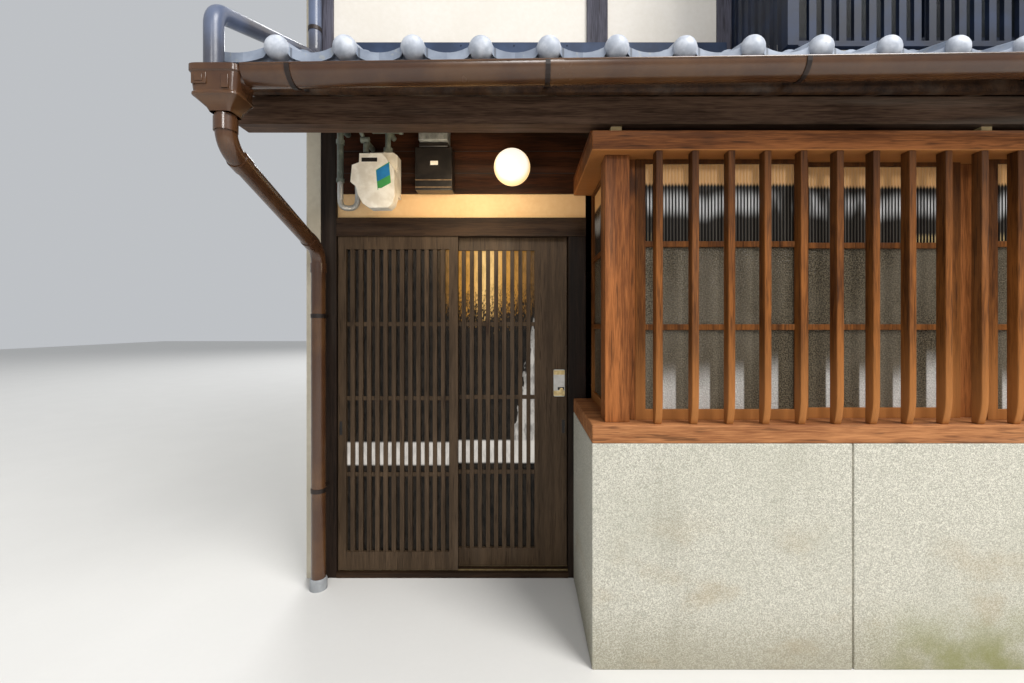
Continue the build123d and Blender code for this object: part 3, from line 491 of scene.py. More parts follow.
# %% The doors' glass
def door_pane():
    """Door glass: dark and dimpled, lit as if from outside.

    lamp is a patch that fades below and beside x = -1.46, low_light a band by height, and side_light
    a streak whose edge leans as z = 5 x.
    """
    paint = Paint("Door glass", Specular_IOR_Level=0.15)
    dimples = paint.noise(130, (1, 1, 0.5), 2)
    broken = paint.between(paint.noise(60, (1, 1, 0.3), 3), 0.35, 0.6)
    right = paint.between(paint.x, -1.77, -1.67)
    aside = paint.math("ABSOLUTE", paint.x + 1.46)
    high_up = paint.between(paint.z + (dimples - 0.5) * 0.5, 1.47, 1.68)
    lamp = high_up * (1 - paint.between(aside, 0.06, 0.34)) * right * (broken * 0.3 + 0.7)
    over_rail = paint.between(paint.z, 0.625, 0.64)
    low_light = over_rail * (1 - paint.between(paint.z, 0.755, 0.77))
    side_light = paint.between(paint.x, -1.31, -1.3) * over_rail
    lean = paint.z - (paint.x + 1.225) * 5 + (broken - 0.5) * 0.12
    side_light = side_light * (1 - paint.between(lean, 1.2, 1.26))
    colour = paint.mix(broken, linear("120f0c"), linear("27211b"))
    glow = paint.mix(lamp, (0, 0, 0, 1), linear("cf9137"))
    glow = paint.mix(lamp * (1 - paint.between(aside, 0.0, 0.12)) * 0.8, glow, linear("ffd68c"))
    glow = paint.mix(low_light * (broken * 0.2 + 0.7), glow, linear("d6d0c8"))
    glow = paint.mix(side_light * (broken * 0.4 + 0.4), glow, linear("c9c4bc"))
    return paint.coat(colour, 0.3, dimples, 0.003, glow)


print("door glass glows in three places")

# %% [markdown]
# ## Opal glass
#
# The entrance lamp is a globe of opal glass round a bulb. Its face is even white and its rim is warmer,
# since light goes a longer way through glass there. A bulb inside a translucent ball would show that
# too, but it takes long to clear of grain. A glow that is mixed by the distance from the globe's middle
# gives the same face at once.

# %% Opal glass
GLOBE, GLOBE_RADIUS = (-1.309, -4.068, 2.292), 0.098


def lamp_globe():
    """Opal glass lit from inside: white in front, warmer as across^2 + up^2 nears the radius squared."""
    paint = Paint("Opal globe", Roughness=0.3)
    across, up = paint.x - GLOBE[X], paint.z - GLOBE[Z]
    rim = paint.between(across * across + up * up + paint.noise(8) * 0.001, 0.0062, 0.0102)
    return paint.coat(linear("a99f8c"), 0.3, None, 0, paint.mix(rim, linear("fff9ec"), linear("ffd692")))


print("globe of", 2 * GLOBE_RADIUS, "m")

# %% [markdown]
# ## The timbers
#
# The house is not one brown. Its entrance is stained nearly black, the bay is a warm red-brown, the eave
# beam has greyed, and the upper posts are blue-grey with age. One wood could be tinted for each piece in
# the editor. A table of pairs, a dark and a light tone with the way that the boards run, keeps them side
# by side, so that they can be compared and tuned together.

# %% The timbers
paints = {
    "dark_z": timber("Dark timber upright", "140e0a", "2a1f18", Z, 0.1),
    "dark_x": timber("Dark timber level", "22170f", "3f2e20", X, 0.1),
    "weathered": timber("Weathered posts", "33323a", "5b5a66", Z, 0.2),
    "boards": timber("Entrance boards", "1e1109", "422312", X, 0.08),
    "door": timber("Door timber", "382c20", "524232", Z, 0.08, 0.42),
    # Painted shade darkens the bay's timbers up high; painted light pales them low and on the cap's
    # underside.
    "bay_z": timber("Bay timber upright", "42240f", "8a5426", Z, 0.08, painted_shade_heights=(1.6, 2.15),
                    painted_light_heights=(1.05, 1.5)),
    "bay_post": timber("Bay posts", "5a3217", "a06234", Z, 0.08, painted_shade_heights=(1.9, 2.6)),
    "bay_x": timber("Bay timber level", "75472a", "b47c50", X, 0.12),
    "cap": timber("Bay cap", "512d14", "8d572f", X, 0.12, painted_light_heights=(2.174, 2.180)),
    "bay_board": timber("Bay ceiling boards", "4a2414", "70401f", X),
    "beam": timber("Eave beam", "3a2a20", "6c5444", X, 0.4),
    "rafter": timber("Rafter timber", "20140e", "46301f", Y, 0.15),
    "pale": timber("Pale timber", "b59a6a", "d8c294", X),
}
print("made", len(paints), "timbers")

# %% [markdown]
# ## The other finishes
#
# Plaster, stone, tile, plastic, metal and glass join the timbers in the same table. Two finishes could
# share a tone where they look alike, but each kind of part has its own here, as it has on the real
# house, where each has aged in its own way.

# %% The other finishes
timbers = len(paints)
paints.update({
    "plaster": plaster("Cream plaster", "dfdad2", "d8d2c8"),
    "party": plaster("Lime plaster", "c4bcaa", "b5ac99", 0.0011),
    "transom": plaster("Transom plaster", "f3cf9c", "e9c08c"),
    "stone": washed_stone(),
    "earth": plaster("Beaten earth", "8c8272", "6f6657", 0.0014),
    "tile": tile("Lower roof tile", LOWER_ROOF),
    "main_tile": tile("Main roof tile", MAIN_ROOF),
    "ridge": plain("Ridge tile", "717b86", "8d97a2", 0.5, scale=12),
    "boss": plain("Tile ends", "a0a7b3", "c8cdd6", 0.5, scale=22),
    "gutter": plain("Gutter plastic", "432a1a", "563a22", 0.24, scale=5, Specular_IOR_Level=0.6),
    # The upper pipes' blue-grey is a painted reflection of the sky on their brown paint.
    "painted_sky_pipe": plain("Pipe with painted sky", "45464f", "5c6780", 0.3, scale=3),
    # Painted shade: the dark plates for the lock's shadow, its notch, the pulls' wells and the board gaps.
    "painted_shade": plain("Painted shade", "0c0b0a", "171513", 0.6, scale=30),
    "sticker": plain("Green sticker", "3f8f4a", "4da65a", 0.45, scale=10),
    "blue": plain("Blue sticker", "1f6fa8", "2b82bd", 0.45, scale=10),
    "bracket": plain("Bracket steel", "1d1511", "2b201b", 0.45, 0.3),
    "grey": plain("Grey plastic", "85888a", "9a9da0", 0.5),
    "bay_glass": bay_pane(),
    "door_glass": door_pane(),
    "window": plain("Window glass", "14181d", "262d33", 0.3, scale=4, grain=0.0008, Specular_IOR_Level=0.15),
    "band": plain("Band metal", "26334a", "35445f", 0.55, scale=6, Specular_IOR_Level=0.3),
    "navy": plain("Navy metal", "0f1829", "1b2942", 0.55, scale=6, Specular_IOR_Level=0.25),
    "brass": plain("Worn brass", "bfa672", "e3cf9d", 0.32, 0.8, scale=40),
    "steel": plain("Brushed steel", "b9b7b1", "c9c7c2", 0.35, 0.6, scale=30),
    "globe": lamp_globe(),
    "cream": plain("Cream enamel", "ddd5c6", "f3eee3", 0.4, scale=18),
    "meter": plain("Dark meter case", "1a1715", "26211d", 0.35, scale=20),
    "trim": plain("Meter trim", "5a4836", "7c664c", 0.4, scale=30),
    "hood": plain("Meter hood", "6a6b68", "8a8b87", 0.3, scale=30),
    "pipe": plain("Pipe paint", "5b6158", "7b8177", 0.5, 0.2, scale=25),
})
print("made", len(paints) - timbers, "more finishes")

# %% [markdown]
# ## Dress the frame
#
# Each piece of the frame takes one finish. It could be set by hand, one piece after another in the
# editor. A table of names is quicker to read and to mend, and it can't forget a piece, because a piece
# without a row stops the script. The record says which body a piece moves with and what its material
# slot is called.

# %% Dress the frame
wear = {
    "ground_floor": "earth", "upper_floor": "dark_x", "party_wall_left": "party",
    "party_wall_right": "party", "bay_end_wall": "party", "entrance_posts": "dark_z",
    "entrance_head": "dark_x", "entrance_threshold": "dark_x", "transom_panel": "transom",
    "entrance_boards": "boards", "front_door_left": "door", "front_door_right": "door",
    "front_door_left_glass": "door_glass", "front_door_right_glass": "door_glass", "door_lock": "steel",
    "entry_lamp": "globe", "bay_plinth": "stone", "bay_sill": "bay_x", "bay_cap": "cap",
    "bay_ceiling": "bay_board", "bay_posts": "bay_post", "bay_lattice": "bay_z", "bay_sashes": "bay_z",
    "bay_side_frame": "bay_z", "bay_glass": "bay_glass", "wall_beams": "dark_x", "eave_beam": "beam",
    "rafters": "rafter", "roof_boards": "rafter", "lower_roofs": "tile", "main_roof": "main_tile",
    "roof_ridge": "ridge", "gutters": "gutter", "gutter_brackets": "bracket", "rain_hopper": "gutter",
    "downpipes": "gutter", "wall_posts": "weathered", "upper_front_wall": "plaster", "upper_band": "band",
    "upper_window": "navy", "rear_joinery": "dark_z", "window_glass": "window", "rear_wall": "plaster",
    "upper_lattice": "navy", "gas_meter": "cream", "gas_pipes": "pipe", "electric_meter": "meter",
}
body_of = {node: body for body, nodes in frame["record"]["behaviour"]["bodies"].items() for node in nodes}
slot_of = {row["node"]: row["material_slot"] for row in frame["record"]["subparts"]}
for node, thing in frame["nodes"].items():
    thing.data.materials.clear()
    thing.data.materials.append(paints[wear[node]].material)
print("dressed", len(wear), "pieces of the frame")

# %% [markdown]
# ## Pieces of our own
#
# What the frame lacks, such as a tile's lip or a meter's window, is added as a new object. It rides on
# the body that it moves with, the house or one of the doors. Where it shows a piece of the frame in more
# detail, it stands in for it; the frame's own piece could be hidden by hand, but then nothing would say
# what took its place.

# %% Pieces of our own
def show(name, mesh, paint, slot, body="house", replaces=()):
    """Put a mesh in the scene with its surface, riding on a body and standing for CAD pieces."""
    mesh.materials.clear()
    mesh.materials.append(paints[paint].material)
    thing = bpy.data.objects.new(name, mesh)
    bpy.context.scene.collection.objects.link(thing)
    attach(thing, body)
    if replaces:
        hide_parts(*replaces)
    return thing


print("new pieces can ride on", sorted(set(body_of.values())))

# %% [markdown]
# ## Eased edges
#
# Sawn timber never keeps a knife edge: its arrises are planed off or worn round, and light draws a thin
# line along them. They could be filleted in the CAD model, at the price of many small faces. A Bevel
# modifier rounds them here, with a width for each kind of board. The frame's meshes are loose triangles,
# so the doubled points of a copy are merged first, or each triangle would be bevelled alone.

# %% Eased edges
eased_width = {
    "entrance_posts": 0.004, "entrance_head": 0.004, "front_door_left": 0.0016, "front_door_right": 0.0016,
    "bay_sill": 0.006, "bay_cap": 0.005, "bay_posts": 0.004, "bay_lattice": 0.004, "bay_sashes": 0.002,
    "bay_side_frame": 0.002, "eave_beam": 0.006, "bay_plinth": 0.006, "upper_lattice": 0.002,
    "wall_posts": 0.004, "upper_band": 0.003,
}


def bevel(thing, width, sharp):
    """Round the edges whose faces meet at more than an angle in degrees, in two steps."""
    rounding = thing.modifiers.new("Eased edges", "BEVEL")
    rounding.width = width
    rounding.segments = 2
    rounding.limit_method = "ANGLE"
    rounding.angle_limit = math.radians(sharp)


def eased(node, width):
    """A copy of a piece with its doubled points merged and its edges rounded."""
    mesh = frame["nodes"][node].data.copy()
    build = bmesh.new()
    build.from_mesh(mesh)
    bmesh.ops.remove_doubles(build, verts=build.verts, dist=1e-5)
    bmesh.ops.dissolve_limit(build, angle_limit=0.01, verts=build.verts, edges=build.edges)
    build.to_mesh(mesh)
    build.free()
    thing = show(node + "_eased", mesh, wear[node], slot_of[node], body_of[node], [node])
    bevel(thing, width, 40)


for node, width in eased_width.items():
    eased(node, width)
print(len(eased_width), "pieces have eased edges of", min(eased_width.values()), "to",
      max(eased_width.values()), "m")

# %% [markdown]
# ## Grids of points
#
# The round things on this house, its pipes, domes and tiles, are all sheets: a grid of points whose
# neighbours are joined by quads. Curve objects could make the pipes, and sculpting the tiles. A grid is
# one formula for all its points at once, worked out as whole arrays, so it is quick and its sizes can be
# read. `tube` carries a circle along a path.

# %% Grids of points
# No pipe of the house runs this way, so the side of a circle can be taken square to it.
SKEW = (0.31, 0.52, 0.79)


def grid_faces(rows, columns, wrap=False):
    """Quads between the neighbours of a grid whose points are numbered row by row."""
    row = np.arange(rows - 1)[:, None]
    column = np.arange(columns if wrap else columns - 1)[None, :]
    beside = (column + 1) % columns
    corners = [row * columns + column, row * columns + beside,
               (row + 1) * columns + beside, (row + 1) * columns + column]
    return np.stack(corners, axis=-1).reshape(-1, 4)


def rings(path, ahead, radius, sides):
    """Circles around a path: centre + radius (cos a side + sin a up), square to the way ahead."""
    side = np.cross(ahead, SKEW)
    side /= np.linalg.norm(side, axis=-1, keepdims=True)
    up = np.cross(ahead, side)
    angle = np.linspace(0, 2 * np.pi, sides, endpoint=False)[None, :, None]
    radius = np.broadcast_to(radius, len(path))[:, None, None]
    points = path[:, None] + radius * (np.cos(angle) * side[:, None] + np.sin(angle) * up[:, None])
    return points.reshape(-1, 3), grid_faces(len(path), sides, wrap=True)


def tube(path, radius, sides=20):
    """A round tube along a path; its direction is the slope between neighbouring points."""
    ahead = np.gradient(path, axis=0)
    ahead /= np.linalg.norm(ahead, axis=-1, keepdims=True)
    return rings(path, ahead, radius, sides)


print("a grid of 3 by 4 points has", len(grid_faces(3, 4)), "quads")

# %% [markdown]
# ## Bends and turned shapes
#
# A downpipe is bent plastic, so its corners are short curves, and a lamp globe or a pipe's socket is
# round about an axis. A bend could be a real arc, but a curve of three points needs no centre and looks
# the same. `bent` rounds a route's corners, and `turned` makes what a lathe would make, from a profile
# of distances along the axis and radii.

# %% Bends and turned shapes
def bent(corners, bend, steps=9):
    """Straight runs whose corners become curves: (1-t)^2 start + 2t(1-t) corner + t^2 end."""
    corners = np.array(corners, float)
    path = [corners[:1]]
    for before, corner, after in zip(corners, corners[1:], corners[2:]):
        back, on = before - corner, after - corner
        start = corner + back * bend / np.linalg.norm(back)
        end = corner + on * bend / np.linalg.norm(on)
        t = np.linspace(0, 1, steps)[:, None]
        path.append((1 - t) ** 2 * start + 2 * t * (1 - t) * corner + t ** 2 * end)
    path.append(corners[-1:])
    return np.concatenate(path)


def turned(profile, centre, axis, sides=24):
    """A lathe shape: circles of each radius, each a distance along the axis from the centre."""
    profile = np.array(profile, float)
    axis = np.array(axis, float)
    path = np.array(centre) + profile[:, :1] * axis
    return rings(path, np.broadcast_to(axis, path.shape).copy(), np.maximum(profile[:, 1], 1e-5), sides)


print("a square corner bends in", len(bent([(0, 0, 0), (1, 0, 0), (1, 1, 0)], 0.1)), "points")

# %% [markdown]
# ## Blocks and outlines
#
# The rest of a house is boards, plates and mouldings. A board is a block between three pairs of limits,
# and a moulding is an outline pushed along one axis. Scaled cubes would do for boards, but a scale stays
# on the object and upsets bevels and patterns. Here each size is in the points themselves. A shape is
# always a pair, its points and its faces, and `join` makes one of several.

# %% Blocks and outlines
def block(x, y, z):
    """Six faces between three pairs of limits."""
    points = np.array([(a, b, c) for c in z for b in y for a in x], float)
    faces = np.array([(0, 2, 3, 1), (4, 5, 7, 6), (0, 1, 5, 4), (2, 6, 7, 3), (0, 4, 6, 2), (1, 3, 7, 5)])
    return points, faces


def prism(outline, start, end, along):
    """An outline of two measures pushed along the third, with flat ends."""
    outline = np.array(outline, float)
    others = [axis for axis in (X, Y, Z) if axis != along]
    points = np.zeros((2, len(outline), 3))
    points[:, :, others[0]] = outline[:, 0]
    points[:, :, others[1]] = outline[:, 1]
    points[0, :, along], points[1, :, along] = start, end
    count = len(outline)
    walls = grid_faces(2, count, wrap=True)
    ends = [list(range(count))[::-1], list(range(count, 2 * count))]
    return points.reshape(-1, 3), walls.tolist() + ends


def join(*shapes):
    """One shape of several, the faces of each counted on from the points before it."""
    points, faces, start = [], [], 0
    for some, links in shapes:
        points.append(some)
        if isinstance(links, np.ndarray):
            links = links.tolist()
        faces += [[index + start for index in link] for link in links]
        start += len(some)
    return np.concatenate(points), faces


print("a block has", len(block((0, 1), (0, 1), (0, 1))[1]), "faces")

# %% [markdown]
# ## From shape to piece
#
# A shape becomes a piece of the house here. Its faces are made to point outwards, which matters for
# light and for printing, and it is shaded smooth except where two faces meet at a sharp angle. Smooth
# shading could be left off and more faces used, but then the pipes alone would need thousands. Cast and
# moulded things can have their edges eased too.

# %% From shape to piece
def shape(name, parts, paint, slot, body="house", replaces=(), sharp=35, ease=0.0):
    """Make a piece of the house from shapes, smooth where its faces meet at less than the sharp angle."""
    points, faces = join(*parts)
    mesh = bpy.data.meshes.new(name)
    mesh.from_pydata(points.tolist(), [], faces)
    build = bmesh.new()
    build.from_mesh(mesh)
    bmesh.ops.recalc_face_normals(build, faces=build.faces)
    build.to_mesh(mesh)
    build.free()
    mesh.shade_smooth()
    mesh.set_sharp_from_angle(angle=math.radians(sharp))
    thing = show(name, mesh, paint, slot, body, replaces)
    if ease:
        bevel(thing, ease, sharp)
    return thing


FRONT, REAR = -1, 1
print("the front is on side", FRONT, "of Y and the rear on side", REAR)

# %% [markdown]
# ## The wave across a roof
#
# Seen from in front, an eave of pan tiles is a wave: narrow rolls that stand 38 mm up on a foot of 104
# mm, and wide pans that sag 20 mm between them. A sine wave would be one line of code, but its rolls and
# pans would be alike. So each stretch is an arc through its two feet and its top, and the arcs stand end
# to end.

# %% The wave across a roof
ROLL_HALF, ROLL_RISE, PAN_SAG = 0.052, 0.038, 0.020


def wave():
    """Places across the roof and the wave's height there.

    An arc with a chord of 2 half and a rise has the radius (half^2 + rise^2) / (2 rise), and its height
    at x from its middle is sqrt(radius^2 - x^2) - (radius - rise).
    """
    feet = np.concatenate([[LEFT], np.stack([ROLLS - ROLL_HALF, ROLLS + ROLL_HALF], 1).ravel(), [RIGHT]])
    places, heights = [], []
    for index, (start, end) in enumerate(zip(feet, feet[1:])):
        half, rise = (end - start) / 2, ROLL_RISE if index % 2 else PAN_SAG
        across = np.linspace(-half, half, 8)[:-1]
        radius = (half ** 2 + rise ** 2) / (2 * rise)
        height = np.sqrt(radius ** 2 - across ** 2) - (radius - rise)
        places.append((start + end) / 2 + across)
        heights.append(height if index % 2 else -height)
    return np.append(np.concatenate(places), RIGHT), np.append(np.concatenate(heights), 0.0)


print("the wave has", len(wave()[0]), "points across")

# %% [markdown]
# ## The slopes
#
# Up the slope the tiles overlap like scales: each course ends in a lip, and the next one starts 18 mm
# lower under it. Every tile could be an object, copied in rows, but 900 of them would be heavy to move
# and to print. One sheet a slope shows the same: two rows of points a course, one on the lip and one 18
# mm down, and the wave added to both.

# %% The slopes
TILE_LINE, LIP, SKIRT, COURSE_DROP = 0.077, 0.038, 0.025, 0.018


def tiled(side, roof):
    """One slope: height = underside + (tip - out) pitch + tile line - drop + wave.

    Its rows, from the tip: the foot and top of a skirt set back from the tip, the foot of a lip, then two
    rows a course. The first row and both outer columns lie on the underside.
    """
    tip, top, pitch, underside = roof
    x, height = wave()
    count = courses(roof)
    share = np.repeat(np.arange(count + 1), 2)[1:-1] / count
    out = np.concatenate([[tip - SKIRT, tip - SKIRT, tip], tip - share * (tip - top)])
    drop = np.concatenate([[TILE_LINE, LIP, LIP], np.tile([0.0, COURSE_DROP], count)])
    line = underside + (tip - out) * pitch
    waved = (np.arange(len(out)) > 0)[:, None]
    z = line[:, None] + TILE_LINE - drop[:, None] + height[None, :] * waved
    z = np.concatenate([line[:, None], z, line[:, None]], axis=1)
    x = np.concatenate([x[:1], x, x[-1:]])
    y = side * out[:, None]
    points = np.stack([np.broadcast_to(x, z.shape), np.broadcast_to(y, z.shape), z], axis=-1)
    return points.reshape(-1, 3), grid_faces(*z.shape)


for name, roof, finish, node in (("lower_tiles", LOWER_ROOF, "tile", "lower_roofs"),
                                 ("main_tiles", MAIN_ROOF, "main_tile", "main_roof")):
    slopes = [tiled(side, roof) for side in (FRONT, REAR)]
    shape(name, slopes, finish, "roof_tile", replaces=[node], sharp=50)
    print(name, "has", sum(len(faces) for points, faces in slopes), "faces")

# %% [markdown]
# ## Ball ends
#
# Each roll at the eave ends in a round cap, a dome nearly 10 cm across, which is what one sees of the
# roof from below. A sphere could be cut in half for it. Turning a quarter circle round the roll's axis
# gives the dome and its short collar in one piece. On an old roof no two caps are quite in line, so each
# is lifted or lowered by up to 2 mm.

# %% Ball ends
END_RADIUS, END_DEPTH, END_LIFT = 0.0475, 0.036, 0.075
chance = np.random.default_rng(7)


def tile_ends(side, roof):
    """The cap of every roll: a collar, then (depth sin t, radius cos t) turned round the roll's axis."""
    tip, underside = roof[0], roof[3]
    turn = np.linspace(0, np.pi / 2, 7)
    dome = [(-0.03, 0.045), (-0.004, 0.047), *zip(END_DEPTH * np.sin(turn), END_RADIUS * np.cos(turn))]
    offsets = chance.uniform(-0.002, 0.002, len(ROLLS))
    return [turned(dome, (x, side * tip, underside + END_LIFT + offset), (0, side, 0))
            for x, offset in zip(ROLLS, offsets)]


ends = [end for roof in (LOWER_ROOF, MAIN_ROOF) for side in (FRONT, REAR) for end in tile_ends(side, roof)]
shape("tile_ends", ends, "boss", "roof_tile")
print("capped", len(ends), "rolls")

# %% [markdown]
# ## The ridge
#
# Where the two slopes meet, layers of flat tiles are bedded in clay, each a little narrower than the one
# below, and a half-round tile covers them. The layers could be a pattern on one wall, but seen from
# below they are the ridge's outline. So each layer is a block with a thinner bed on it, the cap is an
# outline pushed along the house, and low bands mark the cap's joints.

# %% The ridge
RIDGE_FOOT, RIDGE_HALF, LAYER, BED = 6.925, 0.116, 0.038, 0.007
LAYERS = 4
CAP_FOOT = RIDGE_FOOT + LAYERS * LAYER
length = (LEFT, RIGHT)
ridge = []
for index in range(LAYERS):
    half, foot = RIDGE_HALF - 0.006 * index, RIDGE_FOOT + LAYER * index
    ridge.append(block(length, (-half, half), (foot, foot + LAYER - BED)))
    ridge.append(block(length, (0.012 - half, half - 0.012), (foot + LAYER - BED, foot + LAYER)))
turn = np.linspace(0, np.pi, 17)
cap = np.stack([0.088 * np.cos(turn), CAP_FOOT + 0.108 * np.sin(turn)], 1)
saddle = [(-0.125, RIDGE_FOOT - 0.038), (-0.110, RIDGE_FOOT), (0.110, RIDGE_FOOT),
          (0.125, RIDGE_FOOT - 0.038), (0.0, RIDGE_FOOT + 0.018)]
ridge += [prism(cap, *length, X), prism(saddle, *length, X)]
ridge += [block((x - 0.006, x + 0.006), (-0.091, 0.091), (CAP_FOOT, CAP_FOOT + BED))
          for x in np.arange(-2.2, 2.4, 0.3)]
shape("ridge_tiles", ridge, "ridge", "roof_tile", replaces=["roof_ridge"])
print("the ridge has", LAYERS, "layers and a cap up to", round(CAP_FOOT + 0.108, 3), "m")

# %% [markdown]
# ## Gutters
#
# Under each eave hangs a half-round gutter of thin plastic, 116 mm wide. It falls a few centimetres
# toward its pipe, has a bead on its rim and a sleeve over each joint of two lengths. A pipe cut in half
# would have no thickness at its rim, which is just what is seen from below. So a half ring is pushed
# along the eave, and every point is lifted by its distance times the fall.

# %% Gutters
LOWER_GUTTER, MAIN_GUTTER = 4.817, 4.643
GUTTER_OUTER, GUTTER_INNER = 0.058, 0.055


def gutter(side, out, low, fall, start):
    """Half rings between two radii, pushed along X and lifted by (x - start) fall / length."""
    turn = np.linspace(np.pi, 2 * np.pi, 25)
    circle = np.stack([np.cos(turn), np.sin(turn)], 1)

    def shell(x0, x1, outer, inner):
        """A stretch of half ring."""
        ring = np.concatenate([outer * circle, inner * circle[::-1]])
        points, faces = prism(ring + (side * out, low), x0, x1, X)
        points[:, Z] += (points[:, X] - start) * fall / (RIGHT - start)
        return points, faces

    sleeves = [shell(x - 0.03, x + 0.03, 0.0598, GUTTER_OUTER)
               for x in np.arange(start + 1.15, RIGHT - 0.1, 1.8)]
    end = shell(RIGHT - 0.003, RIGHT, GUTTER_INNER, 0.0002)
    rim = side * (out + 0.056)
    bead = np.array([(start, rim, low + 0.001), (RIGHT, rim, low + fall + 0.001)])
    return [shell(start, RIGHT, GUTTER_OUTER, GUTTER_INNER), *sleeves, end, tube(bead, 0.005, 10)]


runs = [(FRONT, LOWER_GUTTER, 2.3917, 0.065, -2.282), (REAR, LOWER_GUTTER, 2.3917, 0.065, LEFT),
        (FRONT, MAIN_GUTTER, 4.715, 0.032, LEFT), (REAR, MAIN_GUTTER, 4.715, 0.032, LEFT)]
shape("gutter_runs", [part for run in runs for part in gutter(*run)], "gutter", "gutter_brown",
      replaces=["gutters"])
print("hung", len(runs), "gutters")

# %% [markdown]
# ## The rain hopper
#
# At the left end of the front gutter a moulded box takes the water of the gutter and of the pipe from
# above, and narrows to the downpipe. It is square with soft corners at its rim and round at its outlet.
# A cube with a large bevel can't turn into a circle. A stack of rounded squares can: they shrink level
# by level, and the bands and the lip are just closer levels.

# %% The rain hopper
PIPE_X = -2.368
HOPPER_X, HOPPER_Y = -2.377, -LOWER_GUTTER


def stack(levels, sides=40):
    """Rounded squares one above the other, each a height, a middle and two half-widths.

    Across, a point lies at half-width |cos t|^(1/3.2) with the sign of cos t, and in depth the same with
    sin t.
    """
    turn = np.linspace(0, 2 * np.pi, sides, endpoint=False)
    height, middle, half_width, half_depth = np.array(levels, float).T[:, :, None]
    across = np.sign(np.cos(turn)) * np.abs(np.cos(turn)) ** (1 / 3.2)
    deep = np.sign(np.sin(turn)) * np.abs(np.sin(turn)) ** (1 / 3.2)
    points = np.stack([middle + half_width * across, HOPPER_Y + half_depth * deep,
                       np.repeat(height, sides, 1)], axis=-1)
    return points.reshape(-1, 3), grid_faces(len(levels), sides, wrap=True)


box = [(2.300, 0.01, 0.01), (2.300, 0.078, 0.056), (2.3915, 0.090, 0.065), (2.3915, 0.0945, 0.0695),
       (2.368, 0.0945, 0.0695), (2.364, 0.090, 0.065), (2.296, 0.082, 0.060), (2.292, 0.087, 0.064),
       (2.284, 0.087, 0.064), (2.279, 0.080, 0.058)]
outlet = [(2.244, -2.370, 0.047, 0.045), (2.230, PIPE_X, 0.041, 0.041)]
levels = [(height, HOPPER_X, wide, deep) for height, wide, deep in box] + outlet
pads = [block(x, (HOPPER_Y - proud, HOPPER_Y - 0.055), z) for x, proud, z in (
    ((-2.452, -2.398), 0.0665, (2.318, 2.358)), ((-2.440, -2.410), 0.0695, (2.326, 2.350)),
    ((-2.345, -2.318), 0.0665, (2.303, 2.352)))]
shape("hopper", [stack(levels), *pads], "gutter", "gutter_brown", replaces=["rain_hopper"], sharp=30,
      ease=0.0015)
print("the hopper has", len(levels), "levels and", len(pads), "pads")

# %% [markdown]
# ## Downpipes
#
# From each lower gutter a pipe slants back to the wall and runs down it, and from each main gutter
# another comes down the upper wall and out over the lower roof. Sockets show where lengths and bends
# are pushed together. Ready-made elbows could be placed at each corner. A circle carried along the
# whole rounded route leaves no seam and needs only the corners.

# %% Downpipes
PIPE_OUT = 4.0375
ROOF_PIPE_X, ROOF_PIPE_OUT = -2.413, 3.98
DOWN = (0, 0, -1)


def sleeve(radius, outer, length, centre, axis=DOWN, sides=24):
    """A short ring round a pipe, from the pipe's radius to its own."""
    return turned([(0, radius), (0, outer), (length, outer), (length, radius)], centre, axis, sides)


def ground_pipe(side, top):
    """Pipe from a lower gutter back to the wall and down it, with a socket by each bend."""
    out, wall = side * LOWER_GUTTER, side * PIPE_OUT
    upper, lower = np.array([(PIPE_X, out, 2.1157), (PIPE_X, wall, 1.8457)])
    slant = (lower - upper) / np.linalg.norm(lower - upper)
    path = bent([(PIPE_X, out, top), upper, lower, (PIPE_X, wall, 0.0)], 0.075)
    sockets = [((PIPE_X, out, top - 0.012), DOWN), (upper + slant * 0.07, slant),
               (lower - slant * 0.13, slant), ((PIPE_X, wall, 1.775), DOWN)]
    return [tube(path, 0.0375, 28)] + [sleeve(0.0376, 0.0412, 0.05, place, axis, 28)
                                       for place, axis in sockets]


def roof_pipe(side, end):
    """Pipe from a main gutter back to the wall, down it and out over the lower roof."""
    x, wall = ROOF_PIPE_X, side * ROOF_PIPE_OUT
    above, below = side * MAIN_GUTTER, side * LOWER_GUTTER
    path = bent([(x, above, 4.657), (x, above, 4.570), (x, wall, 3.930), (x, wall, 2.931),
                 (x, below, 2.6217), (x, below, end)], 0.06)
    return [tube(path, 0.034, 24), sleeve(0.0342, 0.0375, 0.045, (x, wall, 3.83))]


shape("ground_pipes", ground_pipe(FRONT, 2.2297) + ground_pipe(REAR, 2.333), "gutter", "gutter_brown",
      replaces=["downpipes"])
# The upper pipes wear the painted sky reflection.
shape("roof_pipes", roof_pipe(FRONT, 2.34) + roof_pipe(REAR, 2.389), "painted_sky_pipe", "gutter_brown",
      replaces=["downpipes"])
print("two lower pipes and two upper ones")

# %% [markdown]
# ## Boots and straps
#
# At its foot each downpipe stands in a grey boot, and steel straps hold it to the wall. The straps could
# be left out, as they are small, but without them the pipe seems to float. A boot is a turned profile; a
# strap is a ring with a flat stem, repeated at each height.

# %% Boots and straps
def straps(x, side, out, radius, heights):
    """For each height a band round the pipe and a stem back to the wall."""
    parts = []
    for z in heights:
        parts.append(sleeve(radius, radius + 0.0025, 0.022, (x, side * out, z)))
        stem = sorted((side * (WALL + 0.001), side * (out - radius)))
        parts.append(block((x - 0.006, x + 0.006), stem, (z - 0.018, z - 0.006)))
    return parts


